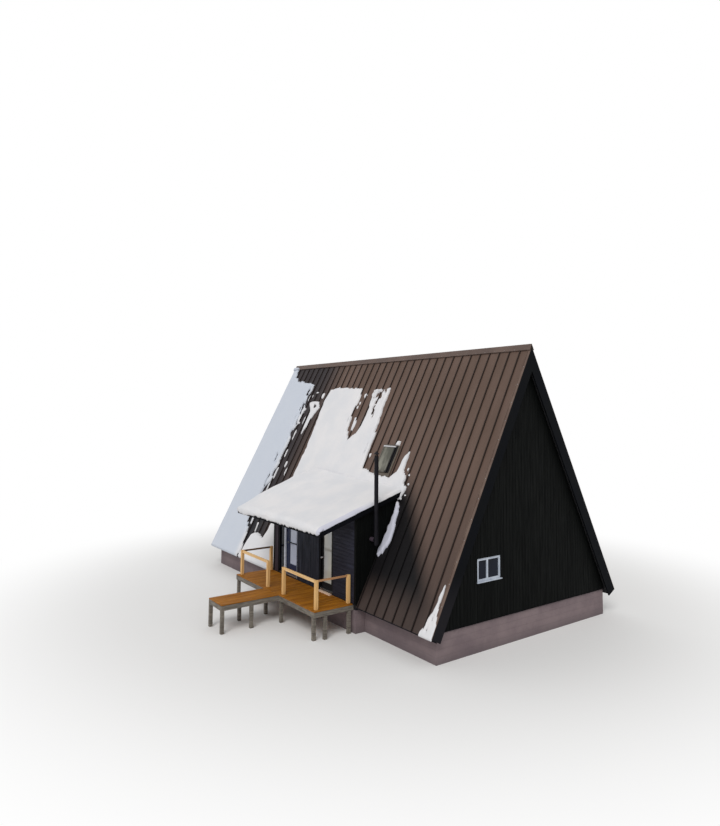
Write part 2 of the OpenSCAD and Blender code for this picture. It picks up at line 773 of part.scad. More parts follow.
// Stovepipe on a tee, with a branch into the dormer's side wall and a cowl
module stovepipe() color("#1c1c1c") {
    r = pipe_diameter / 2;
    z_branch = foot_height + pipe_branch;
    z_top = foot_height + pipe_top;
    difference() {
        union() {
            translate([pipe_x, -pipe_reach, z_branch - tee_half]) cylinder(r = r, h = z_top - z_branch + tee_half);
            translate([dormer_x1, -pipe_reach, z_branch]) rotate([0, 90, 0]) cylinder(r = r, h = pipe_x - dormer_x1);
            translate([dormer_x1, -pipe_reach, z_branch]) rotate([0, 90, 0])
                cylinder(r = plate_radius, h = plate_thick);
        }
        translate([pipe_x, -pipe_reach, z_branch]) cylinder(r = r - pipe_wall, h = z_top - z_branch + pass);
    }
    // Cowl on three strips
    for (turn = [0 : 120 : 240]) translate([pipe_x, -pipe_reach, z_top]) rotate([0, 0, turn])
        translate([r - pipe_wall, -strip_width / 2, -pass]) cube([pipe_wall, strip_width, cowl_gap + pass]);
    translate([pipe_x, -pipe_reach, z_top + cowl_gap]) cylinder(r1 = cowl_radius, r2 = cowl_tip, h = cowl_height);
}

module skylight_window() color("gray") on_front_slope() difference() {
    translate([skylight_x0, skylight_foot, -skylight_depth])
        cube([skylight_width, skylight_length, skylight_height + skylight_depth]);
    translate([skylight_x0 + skylight_frame, skylight_foot + skylight_frame, -skylight_depth - pass])
        cube([
            skylight_width - 2 * skylight_frame, skylight_length - 2 * skylight_frame,
            skylight_height + skylight_depth + 2 * pass
        ]);
}

plinth_front();
plinth_back();
plinth_right();
plinth_left();
plinth_middle();
floor();
roof_panel_front_left();
roof_panel_front_middle();
roof_panel_front_right();
roof_panel_back();
roof_sheet_front();
roof_sheet_back();
ridge_cap();
barge_boards_right();
barge_boards_left();
eave_boards();
right_gable_wall();
left_gable_wall();
right_gable_window();
left_gable_window();
window_panes();
front_wall_left();
front_wall_middle();
front_wall_right();
front_wall_heads();
dormer_side_right();
dormer_side_left();
dormer_roof();
dormer_fascia();
door_frame_left();
door_frame_right();
door_left();
door_right();
door_glass_left();
door_glass_right();
door_handle_left();
door_handle_right();
deck_boards();
deck_frame();
deck_posts();
railing_left();
railing_right();
door_step();
stovepipe();
skylight_window();
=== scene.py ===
"""Looks of the a-frame cabin: cladding, steel roof, deck, railing, doors, snow, floor, light and camera."""

import math

import bmesh
import bpy
import numpy as np
from mathutils import Matrix, Vector


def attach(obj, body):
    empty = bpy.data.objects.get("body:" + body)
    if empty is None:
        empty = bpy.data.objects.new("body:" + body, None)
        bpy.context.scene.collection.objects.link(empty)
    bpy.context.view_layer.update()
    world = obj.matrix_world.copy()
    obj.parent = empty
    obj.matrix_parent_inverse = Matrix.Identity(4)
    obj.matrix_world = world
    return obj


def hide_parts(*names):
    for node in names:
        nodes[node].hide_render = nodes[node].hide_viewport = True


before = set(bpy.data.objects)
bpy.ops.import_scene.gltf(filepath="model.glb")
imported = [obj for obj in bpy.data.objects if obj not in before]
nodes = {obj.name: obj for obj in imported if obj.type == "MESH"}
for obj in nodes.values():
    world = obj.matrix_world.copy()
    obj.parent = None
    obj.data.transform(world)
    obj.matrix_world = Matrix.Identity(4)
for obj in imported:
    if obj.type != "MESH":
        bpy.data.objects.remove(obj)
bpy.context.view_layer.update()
scene = bpy.context.scene

# Main roof, in metres
ROOF_RUN = 4.19
ROOF_RISE = 8.0
FOOT = 0.8
ROOF_HALF = 7.125
SLOPE = math.atan2(ROOF_RISE, ROOF_RUN)
SLOPE_LENGTH = ROOF_RUN / math.cos(SLOPE)
FALL = math.tan(SLOPE)
SEAM_PITCH = 0.417
FIRST_SEAM = 6.728

# Gable walls and windows; near and far are from the ridge's line towards the entrance
GABLE_FACE = 6.925
GABLE_BASE = 0.86
GABLE_HALF = 3.86
PLINTH_FACE = 6.91
WINDOW_NEAR = 1.30
WINDOW_FAR = 2.27
WINDOW_SILL = 1.95
WINDOW_TOP = 2.60

# Dormer; its roof's run is level, from its front edge to the main roof
DORMER_FACE = -4.19
DORMER_X0 = -1.43
DORMER_X1 = 3.72
DORMER_PITCH = math.radians(17.5)
DORMER_FALL = math.tan(DORMER_PITCH)
DORMER_EDGE_Y = -5.60
DORMER_EDGE_Z = 3.21
DORMER_VERGE_X0 = -1.64
DORMER_VERGE_X1 = 3.84
DORMER_RUN = 3.21
DORMER_SLOPE_LENGTH = DORMER_RUN / math.cos(DORMER_PITCH)
DORMER_THICK = 0.15
# The roof's thickness, measured straight down
DORMER_DROP = DORMER_THICK / math.cos(DORMER_PITCH)

# Doors
FRAME_FRONT = -4.175
LEAF_FRONT = -4.125
LEAF_BACK = -4.075
FRAME_TOP = 3.031
LEAF_POST_X = -0.725
LEFT_FRAME_X0 = -1.123
LEFT_FRAME_X1 = 0.223
RIGHT_FRAME_X0 = 1.642
RIGHT_FRAME_X1 = 2.478
SMOOTH_PANEL_X0 = 1.115
# Each pane: its left, right, foot and top
LEFT_PANE = (-0.405, 0.065, 1.293, 2.853)
RIGHT_PANE = (1.81, 2.28, 1.143, 2.853)
LEFT_DOORWAY = (-0.653, 0.163)
RIGHT_DOORWAY = (1.702, 2.418)
DOORWAY_TOP = 2.966
THRESHOLD_TOP = 0.9405
GLAZING_BAR_Z = (2.012, 2.048)
HANDLE_X = -0.52
HANDLE_Z = 2.023

# Deck and railing
DECK_TOP = 0.87
DECK_BOARD = 0.03
DECK_X0 = -1.65
DECK_X1 = 3.60
DECK_FRONT = -5.60
WALK_X0 = 0.50
WALK_X1 = 1.45
WALK_END = -7.56
POST = 0.10
POST_FRONT = -5.45
POST_BACK = -4.285
LEFT_CORNER_X = -1.50
LEFT_GATE_X = 0.45
RIGHT_GATE_X = 1.50
RIGHT_CORNER_X = 3.45
RAIL_TOP = 1.73
RAIL_DEPTH = 0.09
RAIL_THICK = 0.05
SIDE_RAIL_DEPTH = 0.055

# Kept between two faces that meet
HAIR = 0.0005

# Stovepipe and skylight
PIPE_X = 3.99
PIPE_Y = -3.63
PIPE_RADIUS = 0.065
BAND_HEIGHTS = (2.98, 3.98, 4.98)
SKYLIGHT_X0 = 2.05
SKYLIGHT_X1 = 2.71
SKYLIGHT_S0 = 4.35
SKYLIGHT_S1 = 5.33

# Cladding boards
BOARD_THICK = 0.019
BOARD_GAP = 0.007
TIGHT_GAP = 0.003
BOARD_EASE = 0.003
# How far a board may stand out past its neighbours
BOARD_PROUD = 0.0018


def on_front(x, s, h=0.0):
    """Point on the front slope: s up the slope from its foot, h square to it."""
    y = -ROOF_RUN + s * math.cos(SLOPE) - h * math.sin(SLOPE)
    z = FOOT + s * math.sin(SLOPE) + h * math.cos(SLOPE)
    return x, y, z


def on_back(x, s, h=0.0):
    """The same point on the back slope."""
    x, y, z = on_front(x, s, h)
    return x, -y, z


def on_dormer(x, t, h=0.0):
    """Point on the dormer roof: t up from its front edge, h square to it."""
    y = DORMER_EDGE_Y + t * math.cos(DORMER_PITCH) - h * math.sin(DORMER_PITCH)
    z = DORMER_EDGE_Z + t * math.sin(DORMER_PITCH) + h * math.cos(DORMER_PITCH)
    return x, y, z


def tint(red, green, blue):
    """A colour written as it looks, 0 to 255, as linear values for a shader."""
    linear = []
    for level in (red, green, blue):
        c = level / 255
        linear.append(c / 12.92 if c <= 0.04045 else ((c + 0.055) / 1.055) ** 2.4)
    return (*linear, 1.0)


class Graph:
    """A node tree that is being built, for a finish or for a rule that places pieces."""

    def __init__(self, tree):
        self.tree = tree

    def feed(self, socket, value):
        if isinstance(value, bpy.types.NodeSocket):
            self.tree.links.new(value, socket)
        else:
            socket.default_value = value

    def add(self, kind, inputs=None, **settings):
        node = self.tree.nodes.new(kind)
        for key, value in settings.items():
            setattr(node, key, value)
        for key, value in (inputs or {}).items():
            self.feed(node.inputs[key], value)
        return node

    def calc(self, operation, a, b=0.0, c=0.0):
        return self.add("ShaderNodeMath", {0: a, 1: b, 2: c}, operation=operation).outputs[0]

    def plus(self, a, b):
        return self.calc("ADD", a, b)

    def minus(self, a, b):
        return self.calc("SUBTRACT", a, b)

    def times(self, a, b):
        return self.calc("MULTIPLY", a, b)

    def point(self, x, y, z):
        return self.add("ShaderNodeCombineXYZ", {0: x, 1: y, 2: z}).outputs[0]

    def parts(self, vector):
        return self.add("ShaderNodeSeparateXYZ", {0: vector}).outputs

    def spread(self, value, low, high, to_low=0.0, to_high=1.0):
        """value from low to high, eased, as to_low to to_high."""
        inputs = {0: value, 1: low, 2: high, 3: to_low, 4: to_high}
        return self.add("ShaderNodeMapRange", inputs, interpolation_type="SMOOTHSTEP").outputs[0]

    def blend(self, share, low, high):
        """One colour into another by a share."""
        return self.add("ShaderNodeMix", {0: share, 6: low, 7: high}, data_type="RGBA").outputs[2]

    def stretch(self, vector, x, y, z):
        return self.add("ShaderNodeMapping", {"Vector": vector, "Scale": (x, y, z)}).outputs[0]

    def noise(self, vector, scale, detail=3.0, rough=0.5):
        inputs = {"Vector": vector, "Scale": scale, "Detail": detail, "Roughness": rough}
        return self.add("ShaderNodeTexNoise", inputs).outputs[0]

    def bump(self, height, distance, strength, under=None):
        inputs = {"Height": height, "Distance": distance, "Strength": strength}
        if under is not None:
            inputs["Normal"] = under
        return self.add("ShaderNodeBump", inputs).outputs[0]


class Finish(Graph):
    """A procedural finish on Object coordinates."""

    def __init__(self, name, metallic=0.0, gloss=0.5):
        self.material = bpy.data.materials.new(name)
        self.material.use_nodes = True
        super().__init__(self.material.node_tree)
        self.shader = self.tree.nodes["Principled BSDF"]
        self.shader.inputs["Metallic"].default_value = metallic
        self.shader.inputs["Specular IOR Level"].default_value = gloss
        self.place = self.add("ShaderNodeTexCoord").outputs["Object"]
        self.x, self.y, self.z = self.parts(self.place)

    def colour(self, value):
        self.feed(self.shader.inputs["Base Color"], value)

    def roughness(self, value, least, most):
        """Roughness that goes from least to most with a value."""
        self.feed(self.shader.inputs["Roughness"], self.spread(value, 0.3, 0.7, least, most))

    def relief(self, height, distance, strength, under=None):
        """Fine relief, over an under layer if there is one."""
        self.feed(self.shader.inputs["Normal"], self.bump(height, distance, strength, under))

    def tone(self):
        """The tone of each board, kept on it by the rule that places boards."""
        return self.add("ShaderNodeAttribute", attribute_name="tone").outputs["Fac"]

    def mottled(self, value, main, shade, low=0.3, high=0.7):
        """Two tones that follow a value from low to high."""
        return self.blend(self.spread(value, low, high), main, shade)

    def over(self, base, tone, share, value, low, high):
        """The base with a tone laid over it by a share, where a value goes from low to high."""
        return self.blend(self.times(self.spread(value, low, high), share), base, tone)


def roof_steel():
    """Matt brown coating: pan tones, rain streaks, seams dark with dirt and painted shade, painted shade by the
    dormer.
    """
    f = Finish("brown_roof_steel", gloss=0.2)
    pans = f.calc("DIVIDE", f.minus(f.x, FIRST_SEAM), SEAM_PITCH)
    pan = f.calc("FLOOR", pans)
    pan_tone = f.add("ShaderNodeTexWhiteNoise", {"W": pan}, noise_dimensions="1D").outputs["Value"]
    across = f.calc("ABSOLUTE", f.minus(pans, f.calc("ROUND", pans)))
    at_seam = f.spread(across, 0.04, 0.115, 1.0, 0.0)
    clouds = f.noise(f.stretch(f.place, 0.7, 0.25, 0.25), 1.0, 4.0, 0.6)
    streaks = f.noise(f.stretch(f.place, 22.0, 0.5, 0.5), 1.0, 4.0, 0.65)
    speckle = f.noise(f.place, 60.0, 3.0, 0.7)
    base = f.mottled(clouds, tint(100, 81, 72), tint(88, 71, 62))
    base = f.over(base, tint(112, 96, 88), 0.30, streaks, 0.5, 0.8)
    base = f.blend(f.times(pan_tone, 0.25), base, tint(78, 61, 53))
    base = f.over(base, tint(128, 112, 102), 0.15, speckle, 0.55, 0.8)
    base = f.blend(f.spread(f.z, 0.8, 5.4, 0.5, 0.0), base, tint(56, 49, 50))
    up = f.calc("DIVIDE", f.minus(f.z, FOOT), math.sin(SLOPE))
    entrance_side = f.calc("LESS_THAN", f.y, 0.0)
    # Painted shade right of the dormer, left of a line that leans back up the slope
    limit = f.plus(f.x, f.times(up, 0.75))
    painted_shade_right_of_dormer = f.times(f.spread(limit, 6.65, 7.65, 1.0, 0.0), f.spread(f.x, 3.3, 3.7))
    painted_shade_right_of_dormer = f.times(painted_shade_right_of_dormer, f.spread(up, 0.2, 1.3, 0.4, 1.0))
    painted_shade_right_of_dormer = f.times(painted_shade_right_of_dormer, f.times(f.spread(f.z, 4.0, 4.9, 1.0, 0.0), entrance_side))
    base = f.blend(f.times(painted_shade_right_of_dormer, 0.96), base, tint(3, 5, 9))
    # Painted shade left of the dormer, darker still near the roof's foot
    painted_shade_left_of_dormer = f.times(f.spread(f.x, -4.2, -2.4, 1.0, 0.0), entrance_side)
    base = f.blend(f.times(painted_shade_left_of_dormer, 0.88), base, tint(22, 20, 28))
    painted_shade_near_foot = f.times(painted_shade_left_of_dormer, f.spread(up, 1.9, 3.0, 1.0, 0.0))
    base = f.blend(f.times(painted_shade_near_foot, 0.9), base, tint(12, 14, 20))
    # Seams darkened by dirt and painted shade, nearly black within the painted shade right of the dormer
    seam_dirt_and_shade = f.blend(painted_shade_right_of_dormer, tint(34, 26, 23), tint(3, 2, 3))
    f.colour(f.blend(f.times(at_seam, 0.85), base, seam_dirt_and_shade))
    f.roughness(clouds, 0.46, 0.62)
    waves = f.noise(f.stretch(f.place, 1.6, 1.2, 1.2), 1.0, 2.0, 0.4)
    f.relief(speckle, 0.0015, 0.35, f.bump(waves, 0.03, 0.5))
    return f.material


def trim_steel(name, main, worn, shine=0.45, gloss=0.3, paler_foot=0.0):
    """Folded steel trim: an even coating with faint scuffs, and paler towards its foot on the entrance side
    where asked for.
    """
    f = Finish(name, gloss=gloss)
    clouds = f.noise(f.place, 1.4, 4.0, 0.6)
    scuffs = f.noise(f.stretch(f.place, 3.0, 30.0, 9.0), 1.0, 4.0, 0.7)
    base = f.over(f.mottled(clouds, main, worn, 0.35), worn, 0.3, scuffs, 0.6, 0.8)
    if paler_foot:
        # Paler towards the foot, on the entrance side only
        low = f.times(f.spread(f.z, 1.3, 2.5, paler_foot, 0.0), f.spread(f.y, -3.2, -2.6, 1.0, 0.0))
        base = f.blend(low, base, tint(38, 36, 40))
    f.colour(base)
    f.roughness(clouds, shine, shine + 0.18)
    f.relief(f.noise(f.place, 2.5, 2.0), 0.012, 0.35)
    return f.material


def snow_cover():
    """Old settled snow: soft lumps, fine crystals, and painted blue shade at the left and beside the dormer."""
    f = Finish("settled_snow", gloss=0.1)
    lumps = f.noise(f.place, 1.3, 3.0, 0.5)
    grains = f.noise(f.place, 95.0, 3.0, 0.7)
    crust = f.noise(f.stretch(f.place, 9.0, 5.0, 5.0), 1.0, 5.0, 0.65)
    base = f.mottled(lumps, tint(212, 213, 217), tint(220, 219, 221))
    base = f.over(base, tint(198, 201, 208), 0.18, crust, 0.55, 0.8)
    # Painted blue shade on the snow at the far left
    left = f.spread(f.x, -4.9, -4.4, 0.8, 0.0)
    base = f.blend(left, base, tint(188, 196, 209))
    # Painted blue shade on the snow in the corner right of the dormer
    shaded = f.times(f.spread(f.x, 3.70, 3.76), f.spread(f.z, 3.7, 4.0, 1.0, 0.0))
    f.colour(f.blend(f.times(shaded, f.spread(f.x, 4.6, 5.2, 0.8, 0.0)), base, tint(192, 194, 210)))
    f.roughness(grains, 0.75, 0.92)
    f.relief(grains, 0.003, 0.4, f.bump(crust, 0.012, 0.35))
    return f.material


def painted_rim(f, base):
    """Dark paint on the edge of the floor that shows under the dormer's walls."""
    beside = f.calc("MAXIMUM", f.spread(f.x, DORMER_X0 + 0.001, DORMER_X0 + 0.004, 1.0, 0.0),
                    f.spread(f.x, DORMER_X1 - 0.004, DORMER_X1 - 0.001))
    beside = f.times(beside, f.spread(f.y, -3.6, -3.5, 1.0, 0.0))
    before = f.spread(f.y, DORMER_FACE + 0.001, DORMER_FACE + 0.004, 1.0, 0.0)
    return f.blend(f.calc("MAXIMUM", beside, before), base, tint(14, 14, 18))


def board_finish(name, dark, light, grain, worn=None, knots=0.0, gloss=0.35, rim=None):
    """Boards with a tone for each board, grain along one way, and a worn tone or knots where they have them."""
    f = Finish(name, gloss=gloss)
    tone = f.tone()
    shift = f.times(tone, 37.0)
    apart = f.point(shift, shift, shift)
    moved = f.add("ShaderNodeVectorMath", {0: f.place, 1: apart}, operation="ADD").outputs[0]
    fibres = f.noise(f.stretch(moved, *grain), 1.0, 5.0, 0.65)
    base = f.mottled(fibres, dark, light, high=0.72)
    base = f.blend(f.times(tone, 0.4), base, dark)
    if worn is not None:
        base = f.over(base, worn, 0.5, f.noise(moved, 1.7, 3.0, 0.5), 0.48, 0.72)
    if knots:
        short = f.stretch(moved, *[min(g, 7.0) for g in grain])
        spots = f.add("ShaderNodeTexVoronoi", {"Vector": short, "Scale": 1.0})
        near = f.spread(spots.outputs["Distance"], 0.03, 0.16, knots, 0.0)
        base = f.blend(near, base, tint(70, 38, 16))
    f.colour(rim(f, base) if rim else base)
    f.roughness(fibres, 0.78, 0.55)
    f.relief(fibres, 0.003, 0.6)
    return f.material


def wall_backing(name, low, high):
    """A wall's solid: dark felt behind the cladding outside, pale lining boards inside the box low to high."""
    f = Finish(name)
    inside = None
    for value, least, most in zip((f.x, f.y, f.z), low, high):
        part = f.times(f.calc("GREATER_THAN", value, least), f.calc("LESS_THAN", value, most))
        inside = part if inside is None else f.times(inside, part)
    groove = f.calc("ABSOLUTE", f.minus(f.calc("FRACT", f.calc("DIVIDE", f.z, 0.12)), 0.5))
    line = f.spread(groove, 0.44, 0.49)
    fibres = f.noise(f.stretch(f.place, 2.0, 2.0, 40.0), 1.0, 5.0, 0.6)
    lining = f.mottled(fibres, tint(196, 158, 112), tint(222, 190, 146))
    lining = f.blend(f.times(line, 0.7), lining, tint(96, 66, 40))
    felt = f.mottled(fibres, tint(20, 20, 22), tint(30, 30, 33))
    f.colour(f.blend(inside, felt, lining))
    f.roughness(fibres, 0.6, 0.8)
    f.relief(line, 0.004, 0.6)
    return f.material


def concrete():
    """Cast concrete: board marks, blotches, pores and a foot darkened by dampness."""
    f = Finish("cast_concrete")
    blotch = f.noise(f.place, 1.1, 5.0, 0.6)
    fine = f.noise(f.place, 30.0, 5.0, 0.7)
    rows = f.calc("FRACT", f.calc("DIVIDE", f.z, 0.2))
    edge = f.spread(f.calc("ABSOLUTE", f.minus(rows, 0.5)), 0.465, 0.495)
    pores = f.add("ShaderNodeTexVoronoi", {"Vector": f.place, "Scale": 26.0}).outputs["Distance"]
    pit = f.spread(pores, 0.05, 0.14, 1.0, 0.0)
    base = f.mottled(blotch, tint(126, 111, 113), tint(106, 92, 96))
    base = f.over(base, tint(150, 138, 136), 0.35, fine, 0.5, 0.8)
    base = f.blend(f.times(edge, 0.35), base, tint(82, 72, 74))
    base = f.blend(f.times(pit, 0.4), base, tint(70, 62, 62))
    f.colour(f.blend(f.spread(f.z, 0.0, 0.35, 0.5, 0.0), base, tint(78, 70, 74)))
    f.roughness(fine, 0.78, 0.92)
    f.relief(f.minus(fine, f.plus(edge, pit)), 0.005, 0.7)
    return f.material


def coated(name, main, shade, cloud_scale, gloss, rough, marked):
    """A cloudy coating on one fitting, with another tone where marked puts it."""
    f = Finish(name, gloss=gloss)
    clouds = f.noise(f.place, cloud_scale, 4.0, 0.6)
    f.colour(marked(f, f.mottled(clouds, main, shade, 0.35)))
    f.roughness(clouds, *rough)
    f.relief(clouds, 0.002, 0.3)
    return f.material


def painted_shade_side_and_snowy_head(f, grey):
    """The skylight's frame: painted shade, nearly black, at its right side, and snow along its head."""
    # Painted shade on the frame's right side
    side = f.blend(f.spread(f.x, SKYLIGHT_X1 - 0.13, SKYLIGHT_X1 - 0.08), grey, tint(13, 12, 12))
    snow_line = on_front(0.0, SKYLIGHT_S1 - 0.03, 0.06)[2]
    return f.blend(f.spread(f.z, snow_line - 0.01, snow_line + 0.01), side, tint(188, 188, 192))


def paler_branch(f, black):
    """The stovepipe's branch, paler than the pipe."""
    branch = f.spread(f.x, PIPE_X - PIPE_RADIUS - 0.01, PIPE_X - PIPE_RADIUS, 1.0, 0.0)
    return f.blend(branch, black, tint(66, 56, 66))


def black_round_the_fixed_light(f, pale):
    """The left door's frame: pale at the leaf, black round the fixed light."""
    return f.blend(f.spread(f.x, LEAF_POST_X - 0.004, LEAF_POST_X + 0.004), tint(14, 14, 17), pale)


def paint_finish(name, main, shade, rough=0.4, gloss=0.5):
    """Painted or coated joinery with a slight unevenness and dust."""
    f = Finish(name, gloss=gloss)
    clouds = f.noise(f.place, 3.0, 4.0, 0.6)
    fine = f.noise(f.stretch(f.place, 40.0, 40.0, 6.0), 1.0, 3.0, 0.6)
    f.colour(f.over(f.mottled(clouds, main, shade, 0.35), shade, 0.2, fine, 0.55, 0.8))
    f.roughness(clouds, rough, rough + 0.15)
    f.relief(fine, 0.0008, 0.4)
    return f.material


def insulating_glass(name, main, haze_tone, clear, bend, gloss):
    """Insulating glass with a faint haze; panes high up, which face the sky, get a pale painted reflection of
    it.

    clear says how much light it lets through, and bend how strongly it bends it.
    """
    f = Finish(name, gloss=gloss)
    haze = f.noise(f.stretch(f.place, 1.0, 1.0, 0.4), 2.2, 3.0)
    high = f.spread(f.z, 3.9, 4.1)
    colour = f.mottled(haze, main, haze_tone)
    # Painted reflection of the sky on the panes above about 4 m
    sky = f.mottled(haze, tint(92, 92, 84), tint(146, 145, 134), 0.35, 0.65)
    f.colour(f.blend(high, colour, sky))
    f.roughness(haze, 0.03, 0.08)
    f.shader.inputs["Transmission Weight"].default_value = clear
    f.shader.inputs["IOR"].default_value = bend
    return f.material


def brushed_metal(name, main):
    """Brushed steel of screws, knobs and plates."""
    f = Finish(name, metallic=1.0)
    lines = f.noise(f.stretch(f.place, 15.0, 15.0, 300.0), 1.0, 3.0, 0.6)
    f.colour(f.mottled(lines, main, tint(150, 150, 152)))
    f.roughness(lines, 0.32, 0.47)
    return f.material


# Steel and snow
roof_brown = roof_steel()
ridge_brown = trim_steel("brown_ridge_steel", tint(82, 67, 61), tint(98, 82, 75))
verge_brown = trim_steel("brown_trim_steel", tint(92, 74, 66), tint(110, 93, 84))
barge_black = trim_steel("blue_black_trim", tint(5, 7, 10), tint(11, 13, 18), 0.58, 0.06, paler_foot=0.6)
dormer_black = trim_steel("black_fascia_steel", tint(8, 9, 13), tint(15, 16, 22), 0.58, 0.06)
flashing_grey = trim_steel("brown_grey_flashing", tint(84, 76, 68), tint(100, 92, 82), 0.5)
snow_white = snow_cover()

# Boards: the grain is long where its scale is small
UPRIGHT = (26.0, 26.0, 1.2)
gable_boards = board_finish("black_stained_gable_boards", tint(4, 5, 5), tint(15, 17, 16), UPRIGHT,
                            gloss=0.06)
front_boards = board_finish("dark_stained_front_boards", tint(24, 27, 36), tint(44, 48, 60), UPRIGHT,
                            tint(52, 58, 74), gloss=0.15)
lying_boards = board_finish("dark_stained_lying_boards", tint(28, 28, 38), tint(42, 43, 56), (1.2, 26.0, 26.0),
                            tint(50, 52, 68), gloss=0.15)
plum_boards = board_finish("weathered_plum_boards", tint(44, 37, 44), tint(70, 60, 70), UPRIGHT, gloss=0.15)
oiled_boards = board_finish("oiled_deck_boards", tint(108, 62, 8), tint(196, 128, 26), (34.0, 1.1, 34.0),
                            tint(138, 92, 32), knots=0.4, gloss=0.2)
house_floor = board_finish("house_floor_boards", tint(120, 88, 56), tint(156, 118, 78), (2.0, 30.0, 30.0),
                           rim=painted_rim)
grey_timber = board_finish("weathered_beam_timber", tint(82, 77, 70), tint(128, 121, 112), (3.0, 3.0, 34.0),
                           tint(68, 64, 60))

# Planed pine, by the way its grain runs
ALONG = (1.4, 34.0, 34.0)
OUTWARD = (34.0, 1.4, 34.0)
step_pine = board_finish("planed_pine_lengthwise", tint(200, 158, 104), tint(232, 196, 144), ALONG, knots=0.4)
pale_pine = board_finish("pale_planed_pine", tint(204, 174, 150), tint(232, 208, 188), ALONG)
# Pine darkened as painted shade, for the left side rail
pine_with_painted_shade = board_finish("wet_dark_pine", tint(74, 52, 36), tint(106, 78, 54), OUTWARD, knots=0.3)
across_pine = board_finish("planed_pine_outward", tint(158, 112, 76), tint(190, 146, 106), OUTWARD, knots=0.4)
upright_pine = board_finish("planed_pine_upright", tint(198, 152, 92), tint(230, 190, 132), (34.0, 34.0, 1.4),
                            knots=0.5)

# Concrete, paint, fittings and glass
cast_grey = concrete()
white_paint = paint_finish("white_joinery_paint", tint(186, 194, 206), tint(164, 172, 186), 0.35)
black_paint = paint_finish("black_joinery_paint", tint(12, 12, 15), tint(20, 21, 25), 0.45, 0.15)
blue_paint = paint_finish("blue_joinery_paint", tint(18, 30, 62), tint(26, 40, 76), 0.45, 0.2)
knob_pale = paint_finish("pale_satin_metal", tint(206, 206, 212), tint(186, 186, 194), 0.3)
handle_black = paint_finish("satin_black_metal", tint(18, 18, 20), tint(28, 28, 30), 0.3)
frame_paint = coated("left_door_frame_paint", tint(226, 234, 248), tint(206, 216, 234), 6.0, 0.4,
                     (0.35, 0.45), black_round_the_fixed_light)
pipe_black = coated("matt_stove_black", tint(12, 11, 16), tint(22, 21, 27), 6.0, 0.15, (0.5, 0.62),
                    paler_branch)
skylight_steel = coated("skylight_frame_steel", tint(96, 92, 84), tint(78, 74, 68), 5.0, 0.2,
                        (0.4, 0.55), painted_shade_side_and_snowy_head)
bright_steel = brushed_metal("brushed_steel", tint(188, 188, 190))
# The door panes' pale blue and pale grey colours are painted reflections
painted_blue_reflection_glass = insulating_glass("blue_door_glass", tint(176, 188, 218), tint(196, 206, 228), 0.12, 1.9, 0.4)
painted_pale_reflection_glass = insulating_glass("pale_door_glass", tint(192, 196, 198), tint(212, 212, 200), 0.15, 1.9, 0.4)
window_glass = insulating_glass("dark_window_glass", tint(9, 13, 24), tint(22, 28, 44), 0.2, 1.3, 0.2)

# Walls: each is lined inside the box between two corners
FAR = 20.0
gable_lining = wall_backing("gable_wall_felt_and_lining", (-6.8, -FAR, -FAR), (6.8, FAR, FAR))
front_lining = wall_backing("front_wall_felt_and_lining", (-FAR, -4.06, -FAR), (FAR, FAR, FAR))
dormer_lining = wall_backing("dormer_side_felt_and_lining", (-1.30, -FAR, -FAR), (3.59, FAR, FAR))

for finish, pieces in (
        (cast_grey, ("plinth_front", "plinth_back", "plinth_right", "plinth_left", "plinth_middle")),
        (house_floor, ("floor",)),
        (roof_brown, ("roof_sheet_front", "roof_sheet_back")),
        (ridge_brown, ("ridge_cap",)),
        (barge_black, ("barge_boards_right", "barge_boards_left", "eave_boards")),
        (dormer_black, ("dormer_fascia",)),
        (gable_lining, ("right_gable_wall", "left_gable_wall", "roof_panel_front_left",
                        "roof_panel_front_middle", "roof_panel_front_right", "roof_panel_back")),
        (front_lining, ("front_wall_left", "front_wall_middle", "front_wall_right", "front_wall_heads",
                        "dormer_roof")),
        (dormer_lining, ("dormer_side_right", "dormer_side_left")),
        (white_paint, ("right_gable_window", "left_gable_window")),
        (window_glass, ("window_panes",)),
        (frame_paint, ("door_frame_left",)),
        (blue_paint, ("door_left",)),
        (painted_blue_reflection_glass, ("door_glass_left",)),
        (handle_black, ("door_handle_left",)),
        (black_paint, ("door_frame_right", "door_right")),
        (painted_pale_reflection_glass, ("door_glass_right",)),
        (knob_pale, ("door_handle_right",)),
        (oiled_boards, ("deck_boards",)),
        (grey_timber, ("deck_frame", "deck_posts")),
        (upright_pine, ("railing_left", "railing_right")),
        (pale_pine, ("door_step",)),
        (pipe_black, ("stovepipe",)),
        (skylight_steel, ("skylight_window",))):
    for name in pieces:
        mesh = nodes[name].data
        mesh.materials.clear()
        mesh.materials.append(finish)


def settle(piece, finish, body="root", replaces=()):
    """Gives a made piece its finish, its body and the CAD nodes that it stands for."""
    if finish is not None:
        piece.data.materials.clear()
        piece.data.materials.append(finish)
    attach(piece, body)
    if replaces:
        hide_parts(*replaces)
    return piece


